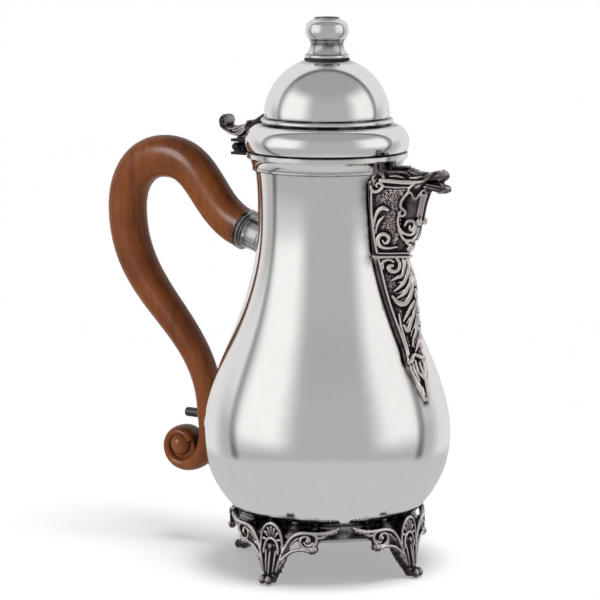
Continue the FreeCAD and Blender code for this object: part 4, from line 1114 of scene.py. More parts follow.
class POT_OT_spout(PieceOperator):
    """Cast beaked spout in two halves, with the strainer behind it"""
    bl_idname = "pot.spout"
    bl_label = "Spout"

    def execute(self, context):
        sizes = sizes_of("pot_castings")
        keel = Keel(the_wall(), SPOUT_FOOT_Z, 1, 3.0, SPOUT_LEVELS)
        casting = Casting()
        steps = np.concatenate([[-SPOUT_MOULDING, -0.9, -0.2], np.linspace(0.6, 35.5, 48)])
        keel.ground(casting, steps, sizes.ground, self.sunk, 2.0)
        for radii, places in SPOUT_STROKES:
            keel.stroke(casting, places, radii)
        self.stipple(casting, keel, sizes.ground)
        for k in range(11):
            step = 26.2 - 0.95 * k
            casting.rod([keel.spot(1.02, step, -0.1), keel.spot(1.2, step - 0.7, 0.1)], [0.42, 0.42])
        casting.ball(keel.spot(1.14, 14.2, 0.6), 1.5)
        self.beak(casting)
        self.cover(casting)
        mesh = casting.melt("spout_half", sizes.grain, self.tone, 2)
        halves = (("spout_right", -1, "spout_right_half"), ("spout_left", 1, "spout_left_half"))
        for name, side, node in halves:
            piece = shown(name, half_mesh(mesh, name, side), known("cast_silver", cast_silver), 180)
            fit(piece, "pot", "silver_cast", node)
        bpy.data.meshes.remove(mesh)
        dress("spout_strainer", known("worn_silver", worn_silver))
        return {"FINISHED"}

    def sunk(self, across, rise):
        """The cartouche on the nose is hollowed out between its two edges."""
        inside = max(0.0, 1 - ((across - 0.86) / 0.24) ** 2) * max(0.0, 1 - ((rise - 19.0) / 9.5) ** 2)
        return 1.3 * min(1.0, 2.5 * inside)

    def tone(self, places, normals):
        """The beak, the cover and the hollow of the cartouche are never rubbed bright; on the beak and
        cover, what faces up is painted lighter as a painted highlight.
        """
        x, _, z = places.T
        rise = z - SPOUT_FOOT_Z
        # painted highlight: faces turned up are lighter
        lit = np.clip((normals[:, 2] - 0.1) / 0.5, 0, 1)
        beak = np.clip((x - 50.0) / 3.0, 0, 1) * np.clip((rise - 24.5) / 2.0, 0, 1)
        cover = np.clip((rise - 33.0) / 1.2, 0, 1)
        hollow = (
            np.clip((x - 40.0) / 3.0, 0, 1) * np.clip((27.0 - rise) / 2.0, 0, 1)
            * np.clip((rise - 12.0) / 3.0, 0, 1))
        return np.maximum.reduce([(0.92 - 0.42 * lit) * beak, (0.95 - 0.3 * lit) * cover, 0.35 * hollow])

    def stipple(self, casting, keel, depth):
        """Punched ground between the border and the cartouche."""
        punch = random.Random(11)
        for row in range(32):
            rise = 2.6 + 0.8 * row
            for column in range(12):
                across = 0.02 + 0.052 * (column + 0.5 * (row % 2)) + punch.uniform(-0.011, 0.011)
                place = keel.spot(across, rise + punch.uniform(-0.13, 0.13), -depth + 0.12)
                casting.ball(place, punch.uniform(0.29, 0.37))

    def beak(self, casting):
        """Upper and lower jaw of the beak with the mouth open between them."""
        # distance out, low and high over the spout's foot, half width
        upper = (
            (43.0, 26.5, 36.5, 5.4), (47.5, 27.1, 35.1, 4.8), (51.0, 29.1, 34.9, 4.3),
            (54.0, 30.7, 35.8, 4.0), (57.0, 31.5, 36.5, 3.6), (59.4, 31.8, 36.4, 3.2),
            (60.6, 32.3, 35.6, 2.6), (61.2, 33.1, 34.7, 1.5))
        lower = (
            (51.5, 28.1, 30.9, 3.6), (55.0, 27.4, 30.5, 3.5), (58.2, 26.9, 30.2, 3.2),
            (60.6, 26.8, 29.8, 2.8), (62.0, 27.4, 29.4, 1.9))
        for jaw in (upper, lower):
            casting.bar(through(jaw, 6), SPOUT_FOOT_Z, 24, 1.0)
        throat = (
            (50.0, 33.1), (57.0, 33.7), (60.0, 33.5), (59.0, 31.3), (60.2, 29.5), (56.0, 28.9),
            (50.0, 29.3))
        casting.loft([[(x, side, SPOUT_FOOT_Z + rise) for x, rise in throat] for side in (-1.6, 1.6)])
        for radii, places in (
            ((0.7, 0.65, 0.5), (
                (43.5, -6.2, 31.5), (49.8, -4.5, 31.5), (53.6, -4.0, 32.7), (55.6, -3.8, 34.9),
                (57.0, -3.2, 36.1))),
            ((0.45, 0.55, 0.4), (
                (59.0, -2.6, 35.9), (60.3, -2.4, 34.7), (60.2, -2.5, 33.3), (58.6, -3.1, 32.5))),
            ((0.45, 0.5, 0.4), (
                (53.0, -3.6, 30.5), (56.5, -3.4, 30.2), (60.0, -2.8, 29.7), (61.8, -1.6, 29.3))),
            ((0.5, 0.5, 0.4), ((61.9, -1.4, 28.7), (61.0, -2.6, 27.7), (58.5, -3.1, 27.3))),
            ((0.7, 0.7), ((60.6, -1.4, 34.5), (60.6, 1.4, 34.5))),
            ((0.7, 0.7), ((61.6, -1.3, 28.6), (61.6, 1.3, 28.6))),
        ):
            casting.stroke(places, radii, SPOUT_FOOT_Z)
        casting.ball((58.2, -2.1, SPOUT_FOOT_Z + 35.8), 0.9)

    def cover(self, casting):
        """Leaves on top of the spout, from the rim out to the beak."""
        sections = []
        # distance out, height of the ridge over the spout's foot, half width, height of the cover's edge
        for x, ridge, half, edge in (
            (32.5, 35.7, 8.6, 31.9), (38.5, 36.3, 7.4, 31.9), (42.0, 36.0, 6.6, 31.7),
            (46.5, 34.2, 5.4, 31.3), (51.0, 33.9, 4.4, 30.9),
        ):
            swell = ridge - edge
            flank = [
                (half, edge), (0.86 * half, edge + 0.35 * swell), (0.5 * half, edge + 0.75 * swell),
                (0.0, ridge)]
            ring = [(-y, rise) for y, rise in flank] + flank[-2::-1]
            sections.append([(x, y, SPOUT_FOOT_Z + rise) for y, rise in ring])
        casting.loft(sections)
        for radii, places in (
            ((0.9, 1.0, 0.7), (
                (34.5, 0, 36.1), (39.6, 0, 36.7), (42.3, 0, 36.4), (46.5, 0, 34.6), (51.0, 0, 34.5))),
            ((0.4, 0.6, 0.3), ((44.0, -3.2, 35.7), (47.0, -3.2, 34.4), (50.0, -2.8, 34.6))),
            ((0.4, 0.65, 0.3), ((39.5, -5.4, 34.9), (42.5, -4.9, 35.0), (45.2, -4.3, 34.1))),
            ((0.35, 0.55, 0.3), ((45.6, -5.2, 33.1), (48.6, -4.6, 33.3), (51.6, -4.1, 34.0))),
            ((0.4, 0.6, 0.3), ((37.0, -7.2, 33.4), (40.0, -6.6, 33.6), (43.0, -5.9, 33.1))),
        ):
            casting.stroke(places, radii, SPOUT_FOOT_Z)
        for k in range(4):
            casting.ball((42.2 + 1.9 * k, -0.8, SPOUT_FOOT_Z + 36.9 - 0.85 * k), 0.75)


DROP_LEVELS = (
    (0.0, 8.5, 10.6, 2.4), (10.5, 7.3, 12.4, 2.2), (25.0, 6.0, 10.0, 2.0), (38.0, 5.0, 6.4, 1.8),
    (47.5, 6.4, 3.8, 1.8), (55.5, 4.4, 2.6, 1.4), (62.0, 1.2, 1.2, 0.7))

# strokes of the drop's side: radii, then places as across and depth under the spout
DROP_STROKES = (
    ((0.5, 0.55, 0.5, 0.45), (
        (-0.02, 0.3), (0.0, 5.7), (-0.02, 15.2), (-0.03, 25.8), (-0.03, 32.3), (-0.12, 40.8),
        (-0.2, 44.4))),
    ((0.6, 0.75, 0.5), ((0.10, 4.4), (0.12, 2.6), (0.22, 1.4), (0.47, 0.8), (0.67, 1.8))),
    ((0.8, 0.9, 1.1, 0.9), (
        (0.85, 0.2), (0.92, 2.6), (0.77, 5.2), (0.52, 5.9), (0.36, 5.0), (0.40, 3.6), (0.55, 3.4))),
    ((0.5, 0.9, 0.95, 0.4), ((1.1, 0.3), (1.08, 3.4), (0.90, 7.2), (0.62, 8.4), (0.36, 9.6))),
    ((0.5, 0.8, 1.0, 0.4), ((1.25, 0.3), (1.22, 4.1), (1.03, 8.3), (0.70, 11.9), (0.36, 14.2))),
    ((0.5, 0.8, 1.1, 0.5), ((1.28, 1.3), (1.25, 5.9), (1.08, 11.4), (0.80, 15.2), (0.41, 17.3))),
    ((0.5, 0.8, 1.3, 1.5, 0.6), (
        (1.3, 3.6), (1.2, 10.6), (1.06, 16.3), (0.77, 19.4), (0.42, 19.2), (0.20, 16.4))),
    ((0.4, 0.9, 0.9, 0.35), ((1.2, 18.1), (0.97, 22.0), (0.46, 27.2))),
    ((0.4, 0.9, 1.25, 0.6), ((1.23, 19.9), (1.03, 25.8), (0.62, 31.0), (0.44, 28.8))),
    ((0.4, 0.8, 0.8, 0.35), ((1.27, 24.8), (1.13, 32.0), (0.76, 37.8))),
    ((0.4, 0.7, 0.7, 0.3), ((1.3, 30.0), (1.2, 36.0), (0.97, 40.8))),
    ((0.28, 0.34, 0.26), ((1.18, 0.8), (1.12, 5.4), (0.94, 9.2), (0.60, 10.6))),
    ((0.28, 0.34, 0.26), ((1.26, 3.0), (1.15, 9.2), (0.92, 12.8), (0.54, 15.2))),
    ((0.28, 0.34, 0.26), ((1.28, 8.0), (1.13, 13.8), (0.94, 16.6), (0.58, 18.0))),
    ((0.28, 0.34, 0.26), ((1.22, 19.6), (1.0, 24.2), (0.62, 28.2))),
    ((0.28, 0.34, 0.26), ((1.25, 23.2), (1.10, 29.0), (0.78, 33.6))),
    ((0.28, 0.34, 0.26), ((1.28, 28.0), (1.18, 33.4), (0.94, 38.2))),
    ((0.5, 0.6, 0.5), ((0.30, 24.0), (0.20, 30.0), (0.12, 36.5), (0.10, 41.0))),
    ((0.6, 0.9, 1.0, 0.8), (
        (-0.15, 44.6), (0.15, 43.6), (0.45, 42.4), (0.75, 41.4), (1.05, 41.6), (1.3, 43.0))),
    ((0.9, 1.3, 0.9), ((-0.08, 44.4), (0.25, 43.6), (0.55, 43.0))),
    ((0.5, 0.6, 0.4), ((0.07, 45.8), (0.12, 50.0), (0.30, 55.0), (0.73, 60.8))),
    ((0.7, 1.0, 0.6), ((0.40, 45.4), (0.45, 48.6), (0.75, 52.6))),
    ((0.6, 0.9, 0.5), ((0.80, 44.0), (0.95, 48.0), (1.2, 51.6))),
    ((0.5, 0.8, 0.5), ((0.25, 50.4), (0.50, 54.2), (0.90, 57.8))),
    ((0.5, 0.7, 0.4), ((1.13, 44.7), (1.25, 50.7), (1.28, 58.2))),
    ((0.8, 0.7), ((0.85, 55.4), (0.95, 58.6))),
)


class POT_OT_drop(PieceOperator):
    """Leaf keel under the spout that runs down the belly to a point"""
    bl_idname = "pot.drop"
    bl_label = "Drop"

    def execute(self, context):
        sizes = sizes_of("pot_castings")
        keel = Keel(the_wall(), side_of("spout_drop", 2, 1), -1, 2.6, DROP_LEVELS)
        casting = Casting()
        keel.ground(casting, np.linspace(0, 61.6, 60), sizes.ground * 0.8, lambda across, depth: 0.0, None)
        punch = random.Random(4)
        for side in (-1, 1):
            for radii, places in DROP_STROKES:
                keel.stroke(casting, places, radii, 0.0, side)
            for row in range(44):
                for column in range(6):
                    across = 0.05 + 0.075 * (column + 0.5 * (row % 2)) + punch.uniform(-0.015, 0.015)
                    place = keel.spot(across, 3.0 + 0.8 * row + punch.uniform(-0.12, 0.12), -0.5, side)
                    casting.ball(place, punch.uniform(0.28, 0.36))
        for depth in (4.5, 10.0, 15.5, 21.0, 26.5, 32.0, 37.0):
            casting.rod([keel.spot(1.3, depth - 2.0, 0.0), keel.spot(1.3, depth + 1.2, 0.35)], [0.7, 1.0])
        mesh = casting.melt("spout_drop_leaf", sizes.grain, lambda places, normals: 0.1, 2)
        piece = shown("spout_drop_leaf", mesh, known("cast_silver", cast_silver), 180)
        fit(piece, "pot", "silver_cast", "spout_drop")
        return {"FINISHED"}


# strokes of a foot, drawn on its face: radii, then places as distance aside and height
FOOT_STROKES = (
    ((0.9, 1.0, 0.95, 0.8, 0.6), (
        (5.6, 13.6), (6.7, 15.8), (8.2, 18.6), (10.6, 21.4), (14.0, 22.9), (18.0, 23.0), (23.0, 23.0),
        (26.0, 24.0), (27.8, 25.2))),
    ((0.85, 0.9, 0.85, 0.7, 0.6), (
        (17.4, 23.0), (19.6, 22.0), (20.0, 19.4), (18.5, 17.0), (15.8, 16.4), (13.7, 18.0), (13.7, 20.4),
        (15.4, 21.6), (17.2, 20.8), (17.2, 19.0), (15.9, 18.7))),
    ((0.9, 0.85, 0.8, 1.0), ((5.6, 10.6), (7.6, 12.9), (10.2, 14.8), (14.0, 15.8), (17.6, 15.3))),
    ((0.6, 0.8, 0.5), ((16.6, 15.6), (18.0, 14.6), (19.6, 15.2), (19.6, 16.8), (18.4, 17.0))),
    ((0.5, 0.8, 0.4), ((19.0, 22.6), (20.4, 21.4), (22.2, 21.3), (23.6, 22.0))),
    ((0.45, 0.55, 0.45), ((9.0, 17.4), (11.6, 20.0), (14.4, 21.8))),
    ((0.8, 0.85, 0.8), ((3.7, 13.0), (3.3, 16.2), (2.0, 18.6), (0.0, 19.6))),
    ((0.8, 0.9, 0.7), ((5.4, 12.8), (4.3, 9.2), (3.3, 5.4))),
    ((0.6, 0.75, 0.6), ((2.5, 14.0), (2.1, 9.6), (1.7, 5.0))),
    ((0.5, 0.6, 0.4), ((6.4, 13.0), (7.0, 11.2), (6.2, 9.6), (5.2, 10.4), (5.8, 11.4))),
    ((0.4, 0.5, 0.3), ((5.8, 9.4), (5.0, 7.6), (4.0, 6.0))),
)


class POT_OT_feet(PieceOperator):
    """Foot ring and four cast scroll feet"""
    bl_idname = "pot.feet"
    bl_label = "Feet"

    # radius of the face at the ring and at the toe, and the height where the leg leaves the ring's curve
    ring_face = 42.6
    toe_face = 45.6
    leg_top = 17.3
    palmette_root = 15.2
    palmette_half = 5.5
    palmette_height = 10.7

    def execute(self, context):
        self.ring()
        mesh = self.foot()
        for k, node in enumerate(("foot_spout_side", "foot_left", "foot_handle_side", "foot_right")):
            piece = shown("scroll_" + node, mesh, known("cast_silver", cast_silver), 180)
            piece.rotation_euler = (0, 0, math.radians(90 * k))
            fit(piece, "pot", "silver_cast", node)
        return {"FINISHED"}

    def ring(self):
        low = side_of("foot_ring", 2, 0)
        outer = side_of("foot_ring", 1, 1)
        base = sizes_of("pot_body").base_radius
        outline = [(outer - 3.2, BASE_Z), (outer - 3.2, low), (outer - 0.45, low)]
        outline += arc((outer - 0.45, low), (outer, low + 0.9), (outer - 0.45, low + 1.8), 8)[1:]
        outline += arc((outer - 0.6, low + 1.9), (base - 1.4, (low + 1.8 + BASE_Z) / 2), (base, BASE_Z), 12)
        hollow = ((low + 0.56 * (BASE_Z - low), 0.27 * (BASE_Z - low), 1.0),)
        finish = known("ring_silver", ring_silver)
        piece = turned_piece("foot_collar", closely(soften(outline, 0.2)), finish, stains_and_shade=hollow)
        fit(piece, "pot", "silver_polished", "foot_ring")

    def spot(self, aside, z, lift):
        """A place on the face of a foot: the ring's curve above, leaning out to the toe below."""
        radius = self.ring_face
        if z <= self.leg_top:
            radius = self.toe_face + (self.ring_face - self.toe_face) * (max(z, 0.0) / self.leg_top) ** 0.7
        radius += lift
        return np.array((math.sqrt(max(radius ** 2 - aside ** 2, 1.0)), aside, z))

    def foot(self):
        casting = Casting()
        for side in (-1, 1):
            for radii, places in FOOT_STROKES:
                line = through([(side * aside, z) for aside, z in places], 7)
                casting.rod([self.spot(aside, z, 0.0) for aside, z in line], radii)
                back = [0.8 * r for r in radii]
                casting.rod([self.spot(aside, z, -1.0) for aside, z in line], back)
            casting.ball(self.spot(side * 16.6, 19.6, 0.3), 1.05)
            casting.ball(self.spot(side * 18.7, 15.9, 0.2), 1.5)
            casting.ball(self.spot(side * 1.6, 2.1, 2.4), 1.8)
            toe = ((2.0, 1.6), (2.4, 0.4), (3.2, -0.8))
            casting.rod([self.spot(side * 1.8, z, lift) for z, lift in toe], [1.6, 1.7])
            self.wing(casting, side)
        self.leg(casting)
        self.palmette(casting)
        return casting.melt("scroll_foot", sizes_of("pot_castings").grain, self.tone)

    def tone(self, places, normals):
        """Painted highlight and shade: what faces outward and up is painted lighter and what faces in or
        down darker, and the lighter part is weaker towards the toes than on the palmette.
        """
        outward = places[:, :2] / np.linalg.norm(places[:, :2], axis=1, keepdims=True)
        facing = 0.8 * (outward * normals[:, :2]).sum(axis=1) + 0.5 * normals[:, 2]
        low = np.clip((15.0 - places[:, 2]) / 8.0, 0, 1)
        return 1.0 - (0.86 - 0.36 * low) * np.clip((facing - 0.5) / 0.42, 0, 1)

    def wing(self, casting, side):
        """Leaf at the end of the wing, with ribs across it."""
        middle = through([(17.6, 22.8), (20.6, 22.7), (23.6, 23.0), (26.2, 24.0), (27.9, 25.2)], 6)
        widths = np.interp(np.linspace(0, 1, len(middle)), [0, 0.3, 0.75, 1], [0.9, 1.3, 1.3, 0.45])
        casting.rod([self.spot(side * a, z, -0.6) for a, z in middle], list(widths))
        for k in range(6):
            aside = 18.6 + 1.6 * k
            z = float(np.interp(aside, middle[:, 0], middle[:, 1]))
            line = [(aside - 0.5, z + 0.8), (aside, z + 0.1), (aside + 0.7, z - 0.7)]
            casting.rod([self.spot(side * a, b, 0.35) for a, b in line], [0.32, 0.42, 0.32])

    def leg(self, casting):
        """Tapering leg, deeper at its top, with a fluted face and leaves on its flanks."""
        sections = []
        for z in np.linspace(0.5, 17.0, 18):
            half = self.leg_half(z)
            deep = float(np.interp(z, (0.5, 3.6, 6.9, 11.2, 14.5, 17.0), (1.5, 2.2, 3.5, 4.5, 4.4, 3.6)))
            sections.append([self.spot(half * c, z, 0.4 - deep + deep * s) for c, s in squarish(32, 0.7)])
        casting.loft(sections)
        casting.rod([self.spot(0, z, 0.6) for z in (13.4, 11.0, 8.0, 5.4, 4.0)], [0.55, 0.8, 0.6])
        casting.rod([self.spot(0, z, 0.6) for z in (17.0, 16.0, 14.8)], [0.5, 1.15, 0.6])
        for side in (-1, 1):
            for k, z in enumerate((6.4, 8.6, 10.8, 13.0, 15.0)):
                half = self.leg_half(z)
                run = 1.0 + 0.45 * k
                leaf = [
                    (0.92 * half, z + 1.4, 0.0), (1.02 * half, z, -1.6), (1.02 * half, z - 1.8, -2.2 - run)]
                casting.rod([self.spot(side * a, b, lift) for a, b, lift in leaf], [0.45, 0.65, 0.4])

    def leg_half(self, z):
        """Half width of the leg's face."""
        return 2.9 + 3.4 * (z / self.leg_top) ** 1.1

    def palmette(self, casting):
        """Shell over the leg: a dished plate with a raised edge and fanned ribs."""
        root = self.palmette_root
        rim = []
        for k in range(25):
            angle = math.pi * k / 24
            aside = self.palmette_half * math.cos(angle) * (1 + 0.05 * math.sin(angle))
            rim.append((aside, root + self.palmette_height * math.sin(angle) ** 0.85))
        casting.loft([[tuple(self.spot(a, z, lift)) for a, z in rim] for lift in (-0.3, -3.0)])
        casting.rod([self.spot(a, z, 0.1) for a, z in rim], [0.75, 0.9, 0.75])
        for k in range(7):
            angle = math.radians(24 + 22 * k)
            tip = (4.4 * math.cos(angle), root + 9.2 * math.sin(angle))
            middle = (0.55 * tip[0] + 0.4 * math.cos(angle), root + 0.55 * (tip[1] - root) + 1.6)
            line = through([(0.25 * tip[0], root + 3.6), middle, tip], 6)
            casting.rod([self.spot(a, z, -0.25) for a, z in line], [0.45, 0.75, 1.0])


class POT_OT_handle(PieceOperator):
    """Carved wood handle with its sockets, cross pin and peg"""
    bl_idname = "pot.handle"
    bl_label = "Handle"

    collar = np.array((-44.294, 0.0, 145.881))
    lean = np.array((-math.cos(math.radians(18)), 0.0, math.sin(math.radians(18))))
    crest = np.array((-86.8, 0.0, 175.8))
    reach = np.array((-109.9, 0.0, 151.0))
    peg_z = 59.5
    throat = np.array((-63.498, 0.0, peg_z))
    curl = np.array((-77.698, 0.0, 43.7))
    eye_shift = np.array((0.5, 0.0, 1.6))

    # end of the volute: room inside its band, width and depth of the band, and how far it turns
    eye_room = 4.7
    end_band = 4.2
    end_deep = 12.0
    volute_turn = math.radians(378)

    def execute(self, context):
        sizes = sizes_of("pot_handle")
        self.grip(sizes)
        self.sockets()
        return {"FINISHED"}

    def stations(self, sizes):
        """Centre, direction, thickness and depth of each section, from the collar to the volute's eye."""
        down, out = np.array((0.0, 0.0, -1.0)), np.array((-1.0, 0.0, 0.0))
        spans = (
            (self.collar, self.lean, self.crest, out,
             sizes.thick, sizes.crest_thick, sizes.deep, sizes.deep),
            (self.crest, out, self.reach, down,
             sizes.crest_thick, sizes.thick, sizes.deep, sizes.deep),
            (self.reach, down, self.throat, down,
             sizes.thick, sizes.throat_thick, sizes.deep, sizes.throat_deep),
        )
        made = []
        for p, p_way, q, q_way, thick, thick_on, deep, deep_on in spans:
            pull = 0.42 * np.linalg.norm(q - p)
            a, b = p + p_way * pull, q - q_way * pull
            for t in np.arange(26) / 26:
                u = 1 - t
                spot = u ** 3 * p + 3 * u * u * t * a + 3 * u * t * t * b + t ** 3 * q
                way = u * u * (a - p) + 2 * u * t * (b - a) + t * t * (q - b)
                ease = t * t * (3 - 2 * t)
                way = way / np.linalg.norm(way)
                made.append((spot, way, thick + (thick_on - thick) * ease, deep + (deep_on - deep) * ease))
        return made + self.volute(sizes)

    def volute(self, sizes):
        """One narrowing turn that curls out and up round the eye."""
        start = self.throat - self.curl
        length = np.linalg.norm(start)
        first = sizes.volute_radius - sizes.volute_band / 2
        last = self.eye_room + self.end_band / 2
        made = []
        for k in range(61):
            left = 1 - k / 60
            angle = math.atan2(start[2], start[0]) - self.volute_turn * (1 - left)
            lead = length - first
            radius = last + (first - last) * left + lead * left ** 8
            slope = first - last + 8 * lead * left ** 7
            radial = np.array((math.cos(angle), 0.0, math.sin(angle)))
            along = np.array((math.sin(angle), 0.0, -math.cos(angle)))
            way = along * radius * self.volute_turn - radial * slope
            band = self.end_band + (sizes.volute_band - self.end_band) * left ** 0.5
            thick = band + (sizes.throat_thick - sizes.volute_band) * left ** 5
            deep = self.end_deep + (sizes.throat_deep - self.end_deep) * left
            made.append((self.curl + radial * radius, way / np.linalg.norm(way), thick, deep))
        return made

    def grip(self, sizes):
        sections = []
        stations = self.stations(sizes)
        for spot, way, thick, deep in stations:
            side = np.cross(way, (0.0, 1.0, 0.0))
            ring = []
            for c, s in squarish(44, 0.9):
                ring.append(spot + side * (c * thick / 2) + np.array((0.0, s * deep / 2, 0.0)))
            sections.append(ring)
        first_spot, first_way = stations[0][0], stations[0][1]
        for place, (back, size) in enumerate(((0.0, 0.90), (0.25, 0.965), (0.8, 0.995))):
            ring = [first_spot + first_way * back + (corner - first_spot) * size for corner in sections[0]]
            sections.insert(place, ring)
        carving = Casting()
        carving.loft(sections)
        corners, faces = carving.corners, carving.faces
        disc = soften([(0.0, -4.2), (7.9, -4.2), (7.9, 4.2), (0.0, 4.2)], 0.8)
        sweep = np.linspace(-0.9, 1.5707, 22)
        cap = [(sizes.eye_radius * math.cos(a), 3.3 + sizes.eye_radius * math.sin(a)) for a in sweep]
        mirrored = [(r, -z) for r, z in cap[::-1]]
        eye = self.curl + self.eye_shift
        for outline, centre in ((disc, self.curl), (cap, eye), (mirrored, eye)):
            more, more_faces = turned(outline, 64)
            carving.add(set_on_axis(more, centre, (0, 1, 0)), more_faces)
        mesh = mesh_of("handle_scroll", corners, faces)
        piece = shown("handle_scroll", mesh, known("carved_wood", carved_wood), 50)
        fit(piece, "pot", "handle_wood", "handle_grip")

    def sockets(self):
        silver = known("worn_silver", worn_silver)
        tube = [
            (6.3, -17.5), (7.4, -17.5), (7.4, -13.6), (8.0, -13.2), (8.0, -12.2), (7.4, -11.8), (7.4, -3.8),
            (8.2, -3.4), (8.2, -2.7), (7.9, -2.4), (9.2, -2.3), (9.2, -0.1), (7.0, -0.05)]
        stains_and_shade = (
            (-1.0, 1.3, 1.0), (-3.5, 0.6, 0.8), (-5.2, 1.6, 0.7), (-11.9, 0.5, 0.6), (-13.5, 0.4, 0.8),
            (-17.0, 1.6, 0.9))
        upper = turned_piece(
            "handle_socket", closely(soften(tube, 0.3)), silver, 120, tuple(self.collar), tuple(self.lean),
            stains_and_shade)
        fit(upper, "pot", "silver_polished", "upper_socket")
        wall = the_wall().radius(self.peg_z)
        seat = (-wall, 0, self.peg_z)
        boss = [(0.0, -2.5), (6.4, -1.6), (6.2, 0.4), (5.2, 1.4), (5.2, 5.0), (0.0, 5.0)]
        lower = turned_piece("belly_socket", soften(boss, 0.5), silver, 120, seat, (-1, 0, 0))
        fit(lower, "pot", "silver_polished", "lower_socket")
        tip = side_of("lower_peg", 0, 0)
        reach = -tip - wall
        peg = [(0.0, 1.0), (2.1, 1.0), (2.1, reach - 0.25), (1.75, reach), (0.0, reach)]
        black = known("black_wood", black_wood)
        dark = turned_piece("black_peg", soften(peg, 0.55), black, 64, seat, (-1, 0, 0))
        fit(dark, "pot", "peg_black", "lower_peg")
        dress("upper_socket_pin", silver, 0.2)


# Stage

